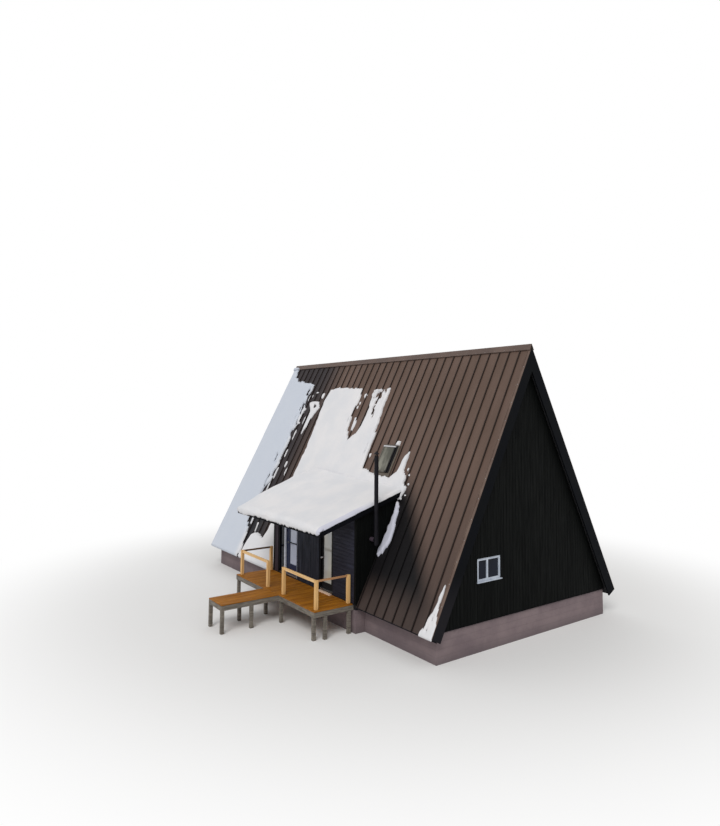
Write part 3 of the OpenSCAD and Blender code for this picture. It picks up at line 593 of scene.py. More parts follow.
class Shape:
    """Gathers solids of one finish into one piece."""

    def __init__(self):
        self.bm = bmesh.new()

    def faces(self, points, rings):
        corners = [self.bm.verts.new(p) for p in points]
        for ring in rings:
            self.bm.faces.new([corners[i] for i in ring])

    def block(self, low, high):
        """An upright box from one corner to the other."""
        x0, y0, z0 = low
        x1, y1, z1 = high
        self.bar([(x0, y0, z0), (x1, y0, z0), (x1, y1, z0), (x0, y1, z0)], (0.0, 0.0, z1 - z0))

    def bar(self, outline, along):
        """An outline of points, carried along a vector."""
        n = len(outline)
        far = [tuple(Vector(p) + Vector(along)) for p in outline]
        rings = [list(range(n))[::-1], list(range(n, 2 * n))]
        rings += [[i, (i + 1) % n, n + (i + 1) % n, n + i] for i in range(n)]
        self.faces(list(outline) + far, rings)

    def turned(self, profile, foot, axis=(0.0, 0.0, 1.0), steps=24):
        """A profile of (radius, height) pairs turned round an axis, closed at both ends."""
        turn = Vector(axis).to_track_quat("Z", "Y")
        points = []
        for radius, height in profile:
            for i in range(steps):
                a = 2 * math.pi * i / steps
                local = Vector((radius * math.cos(a), radius * math.sin(a), height))
                points.append(tuple(Vector(foot) + turn @ local))
        rings = [list(range(steps))[::-1], list(range(len(points) - steps, len(points)))]
        for k in range(len(profile) - 1):
            for i in range(steps):
                j = (i + 1) % steps
                rings.append([k * steps + i, k * steps + j, (k + 1) * steps + j, (k + 1) * steps + i])
        self.faces(points, rings)

    def piece(self, name, finish, slot, body="root", edge=0.0, replaces=()):
        bmesh.ops.recalc_face_normals(self.bm, faces=self.bm.faces)
        mesh = bpy.data.meshes.new(name)
        self.bm.to_mesh(mesh)
        self.bm.free()
        made = bpy.data.objects.new(name, mesh)
        scene.collection.objects.link(made)
        if edge:
            round_edges(made, edge)
        settle(made, finish, body, replaces)


def boxes(name, finish, slot, corners, body="root", edge=0.0, replaces=()):
    """One piece of upright boxes, each from its low corner to its high one."""
    shape = Shape()
    for low, high in corners:
        shape.block(low, high)
    shape.piece(name, finish, slot, body, edge, replaces)


def round_edges(piece, width, segments=2):
    """Eased arrises, as on planed timber and folded steel."""
    ease = piece.modifiers.new("eased_edges", "BEVEL")
    ease.width = width
    ease.segments = segments
    ease.limit_method = "ANGLE"
    ease.angle_limit = math.radians(40)


class Rule(Graph):
    """A Geometry Nodes tree with named sizes."""

    KINDS = {"number": "NodeSocketFloat", "count": "NodeSocketInt", "point": "NodeSocketVector",
             "finish": "NodeSocketMaterial"}

    def __init__(self, name, sizes):
        tree = bpy.data.node_groups.new(name, "GeometryNodeTree")
        super().__init__(tree)
        tree.interface.new_socket("Geometry", in_out="OUTPUT", socket_type="NodeSocketGeometry")
        for label, kind in sizes.items():
            tree.interface.new_socket(label, in_out="INPUT", socket_type=self.KINDS[kind])
        self.sizes = tree.nodes.new("NodeGroupInput").outputs
        self.end = tree.nodes.new("NodeGroupOutput")

    def real(self, geometry):
        """Placed copies as faces of their own."""
        return self.add("GeometryNodeRealizeInstances", {0: geometry}).outputs[0]

    def out(self, geometry):
        """Ends the tree with the finish on its faces."""
        done = self.add("GeometryNodeSetMaterial", {0: geometry, "Material": self.sizes["Finish"]}).outputs[0]
        self.feed(self.end.inputs[0], done)
        return self.tree


def board_rule():
    """Upright boards side by side along X, out towards -Y, cut at foot and top by level or sloped lines."""
    r = Rule("boards_side_by_side", {
        "Count": "count", "Start": "number", "Pitch": "number", "Gap": "number", "Thickness": "number",
        "Foot": "number", "Foot Peak": "number", "Foot Fall": "number",
        "Top": "number", "Top Peak": "number", "Top Fall": "number", "Seed": "count", "Finish": "finish"})
    size = r.sizes
    middle = r.plus(size["Start"], r.times(size["Pitch"], 0.5))
    line = r.add("GeometryNodeMeshLine", {
        "Count": size["Count"], "Start Location": r.point(middle, 0.0, 0.0),
        "Offset": r.point(size["Pitch"], 0.0, 0.0)}, mode="OFFSET").outputs[0]
    board = r.add("GeometryNodeMeshCube", {"Size": (1.0, 1.0, 1.0), "Vertices X": 3}).outputs[0]
    width = r.minus(size["Pitch"], size["Gap"])
    set_out = r.add("GeometryNodeInstanceOnPoints", {
        "Points": line, "Instance": board, "Scale": r.point(width, size["Thickness"], 1.0)}).outputs[0]
    random = r.add("FunctionNodeRandomValue", {2: 0.0, 3: 1.0, 8: size["Seed"]}, data_type="FLOAT").outputs[1]
    toned = r.add("GeometryNodeStoreNamedAttribute", {0: set_out, "Name": "tone", "Value": random},
                  data_type="FLOAT", domain="INSTANCE").outputs[0]
    x, y, z = r.parts(r.add("GeometryNodeInputPosition").outputs[0])
    away = r.calc("ABSOLUTE", x)
    foot = r.calc("MAXIMUM", size["Foot"], r.minus(size["Foot Peak"], r.times(size["Foot Fall"], away)))
    top = r.calc("MINIMUM", size["Top"], r.minus(size["Top Peak"], r.times(size["Top Fall"], away)))
    top = r.calc("MAXIMUM", top, r.plus(foot, 0.001))
    up = r.plus(foot, r.times(r.plus(z, 0.5), r.minus(top, foot)))
    tone = r.add("GeometryNodeInputNamedAttribute", {"Name": "tone"}, data_type="FLOAT").outputs[0]
    face = r.minus(y, r.times(size["Thickness"], 0.5))
    place = r.point(x, r.minus(face, r.times(tone, BOARD_PROUD)), up)
    return r.out(r.add("GeometryNodeSetPosition", {0: r.real(toned), "Position": place}).outputs[0])


def screw_rule():
    """A row of screws with washers, their heads along one direction."""
    r = Rule("row_of_screws", {"Count": "count", "Start": "point", "Step": "point", "Out": "point",
                               "Radius": "number", "Finish": "finish"})
    size = r.sizes
    row = r.add("GeometryNodeMeshLine", {"Count": size["Count"], "Start Location": size["Start"],
                                         "Offset": size["Step"]}, mode="OFFSET").outputs[0]
    both = r.add("GeometryNodeJoinGeometry")
    # The washer and the head: corners, then radius and depth as shares of the size
    for corners, wide, deep in ((10, 1.0, 0.5), (6, 0.6, 1.3)):
        disc = r.add("GeometryNodeMeshCylinder", {"Vertices": corners, "Radius": r.times(size["Radius"], wide),
                                                  "Depth": r.times(size["Radius"], deep)})
        r.feed(both.inputs[0], disc.outputs["Mesh"])
    turn = r.add("FunctionNodeAlignRotationToVector", {"Vector": size["Out"]}, axis="Z").outputs[0]
    placed = r.add("GeometryNodeInstanceOnPoints", {"Points": row, "Instance": both.outputs[0],
                                                    "Rotation": turn}).outputs[0]
    return r.out(r.real(placed))


BOARDS = board_rule()
SCREWS = screw_rule()
# Cuts far below and far above every board
LEVEL = {"Foot Peak": -9.0, "Foot Fall": 0.0, "Top Peak": 99.0, "Top Fall": 0.0}


def grown(rule, sizes, finish, edge=0.0, place=None):
    """The mesh that a rule makes with these sizes."""
    seed = bpy.data.objects.new("seed", bpy.data.meshes.new("seed"))
    scene.collection.objects.link(seed)
    growth = seed.modifiers.new("growth", "NODES")
    growth.node_group = rule
    values = dict(sizes, Finish=finish)
    for item in rule.interface.items_tree:
        if item.in_out == "INPUT" and item.name in values:
            growth[item.identifier] = values[item.name]
    if edge:
        round_edges(seed, edge, 1)
    seen = seed.evaluated_get(bpy.context.evaluated_depsgraph_get())
    mesh = bpy.data.meshes.new_from_object(seen)
    bpy.data.objects.remove(seed)
    if place is not None:
        mesh.transform(place)
    return mesh


def board_row(x0, x1, count, foot, top, finish, seed, place, thick=BOARD_THICK, gap=BOARD_GAP, cuts=LEVEL):
    """Boards side by side between x0 and x1, from foot to top."""
    sizes = dict(cuts, Start=x0, Pitch=(x1 - x0) / count, Count=count, Gap=gap, Thickness=thick,
                 Foot=foot, Top=top, Seed=seed)
    return grown(BOARDS, sizes, finish, BOARD_EASE, place)


def screw_row(count, start, step, out, radius):
    """Steel screws in a row."""
    sizes = {"Count": count, "Start": start, "Step": step, "Out": out, "Radius": radius}
    return grown(SCREWS, sizes, bright_steel)


def joined(name, meshes, replaces=()):
    """One piece from several grown meshes."""
    bm = bmesh.new()
    for mesh in meshes:
        bm.from_mesh(mesh)
    made_mesh = bpy.data.meshes.new(name)
    bm.to_mesh(made_mesh)
    bm.free()
    for finish in meshes[0].materials:
        made_mesh.materials.append(finish)
    made = bpy.data.objects.new(name, made_mesh)
    scene.collection.objects.link(made)
    settle(made, None, replaces=replaces)


def on_side(face, side):
    """Places boards on a face that looks right (side 1) or left (side -1)."""
    return Matrix.Translation((face, 0.0, 0.0)) @ Matrix.Rotation(math.radians(90 * side), 4, "Z")


# Cladding of the gables, up to the roof's underside and open at the window
OPEN_TOP = 20.0
ROOF_DEPTH = 0.24
WINDOW_BOARDS = 7
pitch = (WINDOW_FAR - WINDOW_NEAR) / WINDOW_BOARDS
gable_foot = GABLE_BASE - 0.015
under_roof = dict(LEVEL)
under_roof["Top Peak"] = FOOT + (ROOF_RUN - ROOF_DEPTH / math.sin(SLOPE)) * FALL
under_roof["Top Fall"] = FALL
for name, side in (("gable_boards_right", 1), ("gable_boards_left", -1)):
    low, high = sorted((-side * WINDOW_FAR, -side * WINDOW_NEAR))
    left_count = int((GABLE_HALF + low) / pitch)
    right_count = int((GABLE_HALF - high) / pitch)
    joined(name, [
        board_row(start, start + count * pitch, count, foot, top, gable_boards, 3,
                  on_side(side * GABLE_FACE, side), cuts=under_roof)
        for start, count, foot, top in (
            (low - left_count * pitch, left_count, gable_foot, OPEN_TOP),
            (high, right_count, gable_foot, OPEN_TOP),
            (low, WINDOW_BOARDS, gable_foot, WINDOW_SILL - 0.002),
            (low, WINDOW_BOARDS, WINDOW_TOP + 0.002, OPEN_TOP))])

# Cladding of the dormer's front, on the face of its wall
front = Matrix.Translation((0.0, DORMER_FACE, 0.0))
soffit_z = DORMER_EDGE_Z + (-DORMER_EDGE_Y + DORMER_FACE) * DORMER_FALL - DORMER_DROP - 0.002
board_foot = DECK_TOP + 0.012
head_foot = FRAME_TOP + 0.004
joined("front_boards_left", [board_row(DORMER_X0 - BOARD_THICK, LEFT_FRAME_X0, 3, board_foot, soffit_z,
                                       plum_boards, 5, front)])
joined("front_boards_upright", [
    board_row(x0, x1, count, foot, soffit_z, front_boards, seed, front, gap=gap)
    for x0, x1, count, foot, gap, seed in (
        (LEFT_FRAME_X1, SMOOTH_PANEL_X0, 9, board_foot, 0.010, 6),
        (LEFT_FRAME_X0, LEFT_FRAME_X1, 13, head_foot, BOARD_GAP, 7),
        (SMOOTH_PANEL_X0, RIGHT_FRAME_X0, 1, board_foot, TIGHT_GAP, 8),
        (RIGHT_FRAME_X0, RIGHT_FRAME_X1, 1, head_foot, TIGHT_GAP, 9))])
# Level boards right of the doors: a row with X and Z swapped
swap = Matrix(((0, 0, 1, 0), (0, 1, 0, 0), (1, 0, 0, 0), (0, 0, 0, 1)))
level_boards = board_row(board_foot, soffit_z, 23, RIGHT_FRAME_X1, DORMER_X1 + BOARD_THICK, lying_boards, 10,
                         front @ swap, gap=TIGHT_GAP)
level_boards.flip_normals()
joined("front_boards_lying", [level_boards])

# Upright boards on the dormer's sides, between its roof and the main roof
SIDE_BACK = 2.36
between_roofs = {
    "Foot Peak": FOOT + ROOF_RUN * FALL - 0.01, "Foot Fall": FALL,
    "Top Peak": DORMER_EDGE_Z - DORMER_EDGE_Y * DORMER_FALL - DORMER_DROP + 0.004, "Top Fall": DORMER_FALL}
for name, face, side in (
        ("dormer_side_boards_right", DORMER_X1, 1),
        ("dormer_side_boards_left", DORMER_X0, -1)):
    start = DORMER_FACE if side > 0 else SIDE_BACK
    joined(name, [board_row(start, start - DORMER_FACE - SIDE_BACK, 13, FOOT + 0.01, OPEN_TOP, gable_boards, 12,
                            on_side(face, side), cuts=between_roofs)])

# Corner boards: how far each stands out of the wall, and how far it laps the cladding
CORNER_OUT = 0.024
CORNER_LAP = 0.07
foot = board_foot - 0.006
before = (DORMER_FACE - CORNER_OUT, DORMER_FACE - HAIR, soffit_z - 0.002)
beside = (DORMER_FACE - 0.001, DORMER_FACE + CORNER_LAP, soffit_z - 0.02)
boxes("dormer_corner_boards", gable_boards, "dark_cladding", [
    ((x0, y0, foot), (x1, y1, top))
    for x0, x1, (y0, y1, top) in (
        (DORMER_X0 - CORNER_OUT, DORMER_X0 + CORNER_LAP, before),
        (DORMER_X1 - CORNER_LAP, DORMER_X1 + CORNER_OUT, before),
        (DORMER_X0 - CORNER_OUT, DORMER_X0 - HAIR, beside),
        (DORMER_X1 + HAIR, DORMER_X1 + CORNER_OUT, beside))], edge=0.003)


def under_dormer(x, t, drop=0.0):
    """Point on the dormer roof's underside."""
    px, py, pz = on_dormer(x, t)
    return px, py, pz - DORMER_DROP - drop


# Boards under the dormer's roof, from its front edge to the wall
SOFFIT_BOARDS = 36
SOFFIT_EDGE = 0.03
SOFFIT_BACK = 1.43
soffit = Shape()
soffit_pitch = (DORMER_VERGE_X1 - DORMER_VERGE_X0 - 2 * SOFFIT_EDGE) / SOFFIT_BOARDS
t0 = SOFFIT_EDGE
for i in range(SOFFIT_BOARDS):
    x0 = DORMER_VERGE_X0 + SOFFIT_EDGE + i * soffit_pitch
    x1 = x0 + soffit_pitch - 0.006
    outline = [under_dormer(x, t0, drop) for x, drop in ((x0, 0.0), (x1, 0.0), (x1, 0.012), (x0, 0.012))]
    soffit.bar(outline, Vector(under_dormer(x0, SOFFIT_BACK)) - Vector(under_dormer(x0, t0)))
soffit.piece("dormer_soffit_boards", gable_boards, "dark_cladding", edge=0.002)

# Deck and walkway: boards that lie outward, their tops level with the deck
lying = Matrix.Translation((0.0, 0.0, DECK_TOP - DECK_BOARD)) @ Matrix.Rotation(math.radians(-90), 4, "X")
at_wall = DORMER_FACE - 0.022
at_corner = DORMER_X0 - 0.03
joined("deck_and_walkway_boards", [
    board_row(x0, x1, count, y0, y1, oiled_boards, seed, lying, DECK_BOARD - BOARD_PROUD, 0.006)
    for x0, x1, count, y0, y1, seed in (
        (DECK_X0, at_corner, 2, DECK_FRONT, at_wall - 0.025, 21),
        (at_corner, WALK_X0, 15, DECK_FRONT, at_wall, 22),
        (WALK_X0, WALK_X1, 7, DECK_FRONT, at_wall, 23),
        (WALK_X1, DECK_X1, 16, DECK_FRONT, at_wall, 24),
        (WALK_X0, WALK_X1, 7, WALK_END, DECK_FRONT - 0.004, 25))], ("deck_boards",))

# Two screws in each board over each beam
UP = (0.0, 0.0, 1.0)
DECK_PITCH = 0.1344
DECK_BEAMS = (-5.577, -4.262)
WALK_PITCH = 0.1357
WALK_BEAMS = (-7.537, -6.557, -5.577)
deck_screws = []
for start, count, pitch, beams in (
        (DECK_X0 + 0.067, 16, DECK_PITCH, DECK_BEAMS),
        (WALK_X1 + 0.067, 16, DECK_PITCH, DECK_BEAMS),
        (WALK_X0 + 0.068, 7, WALK_PITCH, WALK_BEAMS)):
    for y in beams:
        for x in (start - 0.03, start + 0.03):
            deck_screws.append(screw_row(count, (x, y, DECK_TOP - 0.001), (pitch, 0.0, 0.0), UP, 0.005))
joined("deck_screws", deck_screws)


# Railing
def railing(name, corner_x, gate_x, side_finish):
    """Posts, front rail and side rail of one half of the railing, which stands for a node of the same name."""
    half, thick = POST / 2, RAIL_THICK / 2
    boxes(name + "_posts", upright_pine, "rail_timber", [
        ((x - half, y - half, DECK_TOP), (x + half, y + half, RAIL_TOP - HAIR))
        for x, y in ((corner_x, POST_FRONT), (gate_x, POST_FRONT), (corner_x, POST_BACK))],
        edge=0.006, replaces=(name,))
    x0, x1 = sorted((corner_x, gate_x))
    boxes(name + "_front_rail", step_pine, "rail_timber", [
        ((x0 + half, POST_FRONT - thick, RAIL_TOP - RAIL_DEPTH),
         (x1 - half, POST_FRONT + thick, RAIL_TOP))], edge=0.005)
    boxes(name + "_side_rail", side_finish, "rail_timber", [
        ((corner_x - thick, POST_FRONT + half, RAIL_TOP - SIDE_RAIL_DEPTH),
         (corner_x + thick, POST_BACK - half, RAIL_TOP))], edge=0.005)


# The left side rail's darker pine is painted shade
railing("railing_left", LEFT_CORNER_X, LEFT_GATE_X, pine_with_painted_shade)
railing("railing_right", RIGHT_CORNER_X, RIGHT_GATE_X, across_pine)
joined("railing_bolts", [
    screw_row(1, (x, POST_FRONT - POST / 2, RAIL_TOP - drop), (1.0, 0.0, 0.0), (0.0, -1.0, 0.0), 0.009)
    for x in (LEFT_CORNER_X, LEFT_GATE_X, RIGHT_GATE_X, RIGHT_CORNER_X) for drop in (0.03, 0.07)])


# Roof trims: verges, screws, flashings
def slab(shape, place, x0, x1, s0, s1, h0, h1):
    """A flat strip on a slope."""
    outline = [place(x0, s0, h0), place(x1, s0, h0), place(x1, s0, h1), place(x0, s0, h1)]
    shape.bar(outline, Vector(place(x0, s1, h0)) - Vector(place(x0, s0, h0)))


# Each verge has a flat plate with a raised lip at its inner side
VERGE_TOP = SLOPE_LENGTH - 0.135
trim = Shape()
for place in (on_front, on_back):
    for side in (1, -1):
        lip, inner, outer = (side * (ROOF_HALF - inset) for inset in (0.098, 0.085, 0.001))
        slab(trim, place, inner, outer, 0.01, VERGE_TOP, 0.001, 0.010)
        slab(trim, place, lip, inner, 0.01, VERGE_TOP, 0.001, 0.026)
trim.piece("verge_trims", verge_brown, "roof_steel", edge=0.002)

verge_screws = []
ridge_screws = []
for place, out_y in ((on_front, -math.sin(SLOPE)), (on_back, math.sin(SLOPE))):
    out = (0.0, out_y, math.cos(SLOPE))
    step = tuple(Vector(place(0.0, 0.62)) - Vector(place(0.0, 0.0)))
    for side in (1, -1):
        verge_screws.append(screw_row(14, place(side * (ROOF_HALF - 0.045), 0.25, 0.010), step, out, 0.011))
    start = place(FIRST_SEAM - SEAM_PITCH / 2, SLOPE_LENGTH - 0.10, 0.046)
    ridge_screws.append(screw_row(33, start, (-SEAM_PITCH, 0.0, 0.0), out, 0.010))
joined("verge_screws", verge_screws)
joined("ridge_screws", ridge_screws)


def on_both_gables(inner, outer, y0, y1, z0, z1):
    """A box on each gable, from inner to outer metres out from the middle of the house."""
    return [((x0, y0, z0), (x1, y1, z1)) for x0, x1 in ((inner, outer), (-outer, -inner))]


boxes("gable_foot_flashing", barge_black, "dark_trim",
      on_both_gables(PLINTH_FACE, GABLE_FACE + 0.028, -GABLE_HALF, GABLE_HALF,
                     GABLE_BASE - 0.030, GABLE_BASE - 0.018), edge=0.002)
boxes("gable_window_sills", white_paint, "white_frame",
      on_both_gables(GABLE_FACE - 0.02, GABLE_FACE + 0.06, -WINDOW_FAR - 0.03, -WINDOW_NEAR + 0.03,
                     WINDOW_SILL - 0.022, WINDOW_SILL + 0.004), edge=0.003)

# Skylight flashing over the roofing, and at its right a black strip that is painted shade beside the frame
apron = Shape()
for x0, x1, s0, s1, high in (
        (SKYLIGHT_X0 - 0.05, SKYLIGHT_X1 + 0.08, SKYLIGHT_S0 - 0.14, SKYLIGHT_S0 - 0.001, 0.040),
        (SKYLIGHT_X0 - 0.05, SKYLIGHT_X0 - 0.001, SKYLIGHT_S0 - 0.001, SKYLIGHT_S1 + 0.02, 0.040),
        (SKYLIGHT_X1 + 0.08, SKYLIGHT_X1 + 0.16, SKYLIGHT_S0 - 0.14, SKYLIGHT_S1 + 0.04, 0.040),
        (SKYLIGHT_X0 - 0.05, SKYLIGHT_X1 + 0.08, SKYLIGHT_S1 + 0.001, SKYLIGHT_S1 + 0.06, 0.044)):
    slab(apron, on_front, x0, x1, s0, s1, 0.002, high)
apron.piece("skylight_flashing", flashing_grey, "dark_frame", edge=0.003)
shade_strip = Shape()
slab(shade_strip, on_front, SKYLIGHT_X1 + 0.001, SKYLIGHT_X1 + 0.079, SKYLIGHT_S0 - 0.001, SKYLIGHT_S1 + 0.02,
     0.002, 0.060)
shade_strip.piece("skylight_side_painted_shade_strip", black_paint, "dark_frame", edge=0.003)


# Door details
def glazing_beads(door, pane, finish, slot, width=0.018, thick=0.007):
    """Thin beads round a door's pane, on both faces of the leaf."""
    x0, x1, z0, z1 = pane
    low, high = z0 - width, z1 + width
    sides = ((x0, x1, low, z0), (x0, x1, z1, high), (x0 - width, x0, low, high), (x1, x1 + width, low, high))
    faces = ((LEAF_FRONT - thick, LEAF_FRONT + 0.001), (LEAF_BACK - 0.001, LEAF_BACK + thick))
    corners = [((a, y0, foot), (b, y1, top)) for y0, y1 in faces for a, b, foot, top in sides]
    boxes(door + "_glazing_beads", finish, slot, corners, door, edge=0.0015)


glazing_beads("door_left", LEFT_PANE, blue_paint, "blue_grey_leaf")
glazing_beads("door_right", RIGHT_PANE, black_paint, "dark_frame")

x0, x1 = LEFT_PANE[:2]
z0, z1 = GLAZING_BAR_Z
boxes("door_left_glazing_bar", black_paint, "dark_frame",
      [((x0, LEAF_FRONT + 0.007, z0), (x1, LEAF_FRONT + 0.0125, z1))], "door_left", edge=0.001)

rosette = Shape()
rosette.turned([(0.034, 0.0), (0.034, 0.004), (0.031, 0.006), (0.027, 0.006), (0.027, 0.0)],
               (HANDLE_X, LEAF_FRONT, HANDLE_Z), (0.0, -1.0, 0.0), 28)
rosette.piece("door_left_rosette_ring", knob_pale, "pale_knob", "door_left")

cover_x = LEFT_FRAME_X0 + 0.062
near, far = FRAME_FRONT - 0.008, FRAME_FRONT - HAIR
boxes("door_left_cover_strips", black_paint, "dark_frame", [
    ((LEFT_FRAME_X0 - 0.004, near, DECK_TOP + 0.014), (cover_x, far, FRAME_TOP + 0.002)),
    ((cover_x, near, DOORWAY_TOP), (LEFT_FRAME_X1, far, FRAME_TOP + 0.002))], edge=0.0015)

# Each threshold is a plate with a lip that hangs at its front
near = FRAME_FRONT - 0.012
boxes("door_thresholds", bright_steel, "pale_knob", [
    ((x0, near, THRESHOLD_TOP - drop), (x1, far, THRESHOLD_TOP))
    for x0, x1 in (LEFT_DOORWAY, RIGHT_DOORWAY)
    for far, drop in ((LEAF_FRONT - 0.005, 0.005), (near + 0.005, 0.0355))], edge=0.001)

# Stovepipe bands
bands = Shape()
snug, proud = PIPE_RADIUS + HAIR, PIPE_RADIUS + 0.006
for z in BAND_HEIGHTS:
    bands.turned([(snug, 0.0), (proud, 0.003), (proud, 0.037), (snug, 0.040)], (PIPE_X, PIPE_Y, z), steps=32)
bands.piece("stovepipe_bands", pipe_black, "black_pipe")


# Snow
def soft_noise(x, s, wide, long, seed):
    """Smooth random relief from -1 to 1 with lumps wide by long metres."""
    u, v = (x + 40.0) / wide, (s + 40.0) / long
    i, j = np.floor(u).astype(int), np.floor(v).astype(int)
    i -= i.min()
    j -= j.min()
    a, b = u - np.floor(u), v - np.floor(v)
    a, b = a * a * (3 - 2 * a), b * b * (3 - 2 * b)
    grid = np.random.RandomState(seed).rand(i.max() + 2, j.max() + 2)
    low = grid[i, j] * (1 - a) + grid[i + 1, j] * a
    high = grid[i, j + 1] * (1 - a) + grid[i + 1, j + 1] * a
    return 2 * (low * (1 - b) + high * b) - 1


def inward(x, s, outline):
    """Distance to an outline, positive inside."""
    nearest = np.full(x.shape, 1e9)
    inside = np.zeros(x.shape, bool)
    for (x0, s0), (x1, s1) in zip(outline, outline[1:] + outline[:1]):
        dx, ds = x1 - x0, s1 - s0
        along = np.clip(((x - x0) * dx + (s - s0) * ds) / (dx * dx + ds * ds), 0, 1)
        nearest = np.minimum(nearest, np.hypot(x - x0 - along * dx, s - s0 - along * ds))
        crosses = (s0 > s) != (s1 > s)
        with np.errstate(divide="ignore", invalid="ignore"):
            at = x0 + (s - s0) * dx / (ds if ds else 1e-9)
        inside ^= crosses & (x < at)
    return np.where(inside, nearest, -nearest)


def snow_bed(name, outlines, place, depth, fray, cell=(0.03, 0.06), brow=0.12, seed=1, holes=(), limit=None,
             sink=0.006, lumpy=1.0, patchy=None, fringe=0.0):
    """Snow lying on a slope: frayed outline, round brow, soft top, closed underneath.

    There is none outside its outlines, in its holes and past its limit. patchy says how thin it lies at a
    point, and fringe how deep the limit's edge is notched.
    """
    step_x, step_s = cell
    points = [p for outline in outlines for p in outline]
    x_low, x_high = min(p[0] for p in points) - 0.2, max(p[0] for p in points) + 0.2
    s_low, s_high = min(p[1] for p in points) - 0.2, max(p[1] for p in points) + 0.2
    columns, rows = int((x_high - x_low) / step_x) + 1, int((s_high - s_low) / step_s) + 1
    s, x = np.meshgrid(s_low + step_s * np.arange(rows), x_low + step_x * np.arange(columns))
    field = np.full(x.shape, -1e9)
    for outline in outlines:
        field = np.maximum(field, inward(x, s, outline))
    for hole in holes:
        field = np.minimum(field, -inward(x, s, hole))
    ragged = 0.8 * soft_noise(x, s, 0.22, 0.8, seed) + 1.1 * soft_noise(x, s, 0.08, 0.42, seed + 1)
    field = field + fray * (ragged + 0.8 * soft_noise(x, s, 0.05, 0.15, seed + 4))
    if patchy is not None:
        spots = soft_noise(x, s, 0.08, 0.30, seed + 5) + 0.8 * soft_noise(x, s, 0.05, 0.11, seed + 6)
        thin = 0.035 + 0.075 * spots
        amount = patchy(x, s)
        field = np.where(amount > 0, np.minimum(field, thin + 0.25 * (1 - amount)), field)
    if limit is not None:
        x0, x1, s0, s1 = limit
        edge = np.minimum(np.minimum(x - x0, x1 - x), np.minimum(s - s0, s1 - s))
        edge = edge - fringe * (1 + soft_noise(x, s, 0.13, 0.16, seed + 7))
        field = np.minimum(field, edge)
    full = depth(x, s) if callable(depth) else depth
    rise = np.clip(field / brow, 0, 1)
    lumps = 0.10 * soft_noise(x, s, 0.9, 1.6, seed + 2) + 0.05 * soft_noise(x, s, 0.3, 0.5, seed + 3)
    height = full * np.sqrt(1 - (1 - rise) ** 2) * (1 + lumpy * lumps)
    inside = field > 0
    slope_x, slope_s = np.gradient(field, step_x, step_s)
    steep = np.maximum(slope_x ** 2 + slope_s ** 2, 0.2)
    reach = 1.2 * min(cell)
    shift = np.clip(-field / steep, -reach, reach)
    x = np.where(inside, x, x + shift * slope_x)
    s = np.where(inside, s, s + shift * slope_s)
    height = np.where(inside, height, 0.0)
    if limit is not None:
        x, s = np.clip(x, limit[0], limit[1]), np.clip(s, limit[2], limit[3])
    cells = inside[:-1, :-1] | inside[1:, :-1] | inside[:-1, 1:] | inside[1:, 1:]
    used = {}
    top, under = [], []

    def corner_of(i, j):
        if (i, j) not in used:
            used[(i, j)] = len(top)
            top.append(place(float(x[i, j]), float(s[i, j]), float(height[i, j])))
            under.append(place(float(x[i, j]), float(s[i, j]), -sink))
        return used[(i, j)]

    faces = [[corner_of(i, j), corner_of(i + 1, j), corner_of(i + 1, j + 1), corner_of(i, j + 1)]
             for i, j in zip(*np.nonzero(cells))]
    sides = [side for ring in faces for side in zip(ring, ring[1:] + ring[:1])]
    shared = {(b, a) for a, b in sides}
    n = len(top)
    closed = faces + [[n + a for a in ring[::-1]] for ring in faces]
    closed += [[b, a, n + a, n + b] for a, b in sides if (a, b) not in shared]
    snow_piece(name, top + under, closed)


def snow_piece(name, points, rings):
    """A smooth piece of snow from its points and faces."""
    mesh = bpy.data.meshes.new(name)
    mesh.from_pydata(points, [], rings)
    mesh.polygons.foreach_set("use_smooth", [True] * len(mesh.polygons))
    mesh.update()
    made = bpy.data.objects.new(name, mesh)
    scene.collection.objects.link(made)
    return settle(made, snow_white)


def fleck(x, up, wide, long, seed):
    """Outline of a small leftover of snow, drawn out down the slope."""
    radii = 0.5 * (0.75 + 0.45 * np.random.RandomState(seed).rand(9))
    turns = 2 * math.pi * np.arange(9) / 9
    return [(x + wide * r * math.cos(a), up + long * r * math.sin(a)) for r, a in zip(radii, turns)]


ROOF_LIMIT = (-ROOF_HALF + 0.006, ROOF_HALF - 0.006, -0.04, SLOPE_LENGTH - 0.02)
# Outlines and holes in metres: along the roof, and up the slope; flecks have a width and a length as well
left_outline = [
    (-7.2, -0.1), (-4.68, -0.1), (-4.56, 0.12), (-4.54, 0.55), (-4.60, 0.8), (-4.70, 1.05), (-4.80, 1.25),
    (-4.90, 1.5), (-4.94, 1.8), (-4.96, 2.4), (-4.93, 2.94), (-4.70, 3.35), (-4.65, 3.81), (-4.63, 4.19),
    (-4.65, 4.53), (-4.62, 4.91), (-4.65, 5.25), (-4.90, 5.63), (-4.76, 5.75), (-4.49, 6.04), (-4.56, 6.53),
    (-4.54, 6.76), (-4.78, 7.14), (-4.80, 7.5), (-4.66, 7.80), (-4.80, 7.98), (-5.55, 8.14), (-6.30, 8.22),
    (-6.64, 8.50), (-6.86, 8.86), (-7.2, 8.94)]
left_holes = [fleck(x, up, wide, long, 400 + i) for i, (x, up, wide, long) in enumerate((
    (-4.84, 4.42, 0.12, 0.80), (-4.96, 3.30, 0.12, 0.66), (-4.79, 6.75, 0.13, 0.62), (-4.90, 5.15, 0.12, 0.52),
    (-5.01, 6.08, 0.09, 0.48), (-4.68, 6.08, 0.09, 0.30), (-4.88, 7.71, 0.09, 0.36), (-5.03, 4.35, 0.07, 0.42),
    (-4.80, 3.02, 0.07, 0.56)))]
snow_bed("snow_left_of_the_dormer", [left_outline], on_front, 0.075, 0.06, brow=0.08, seed=11,
         holes=left_holes, limit=ROOF_LIMIT)

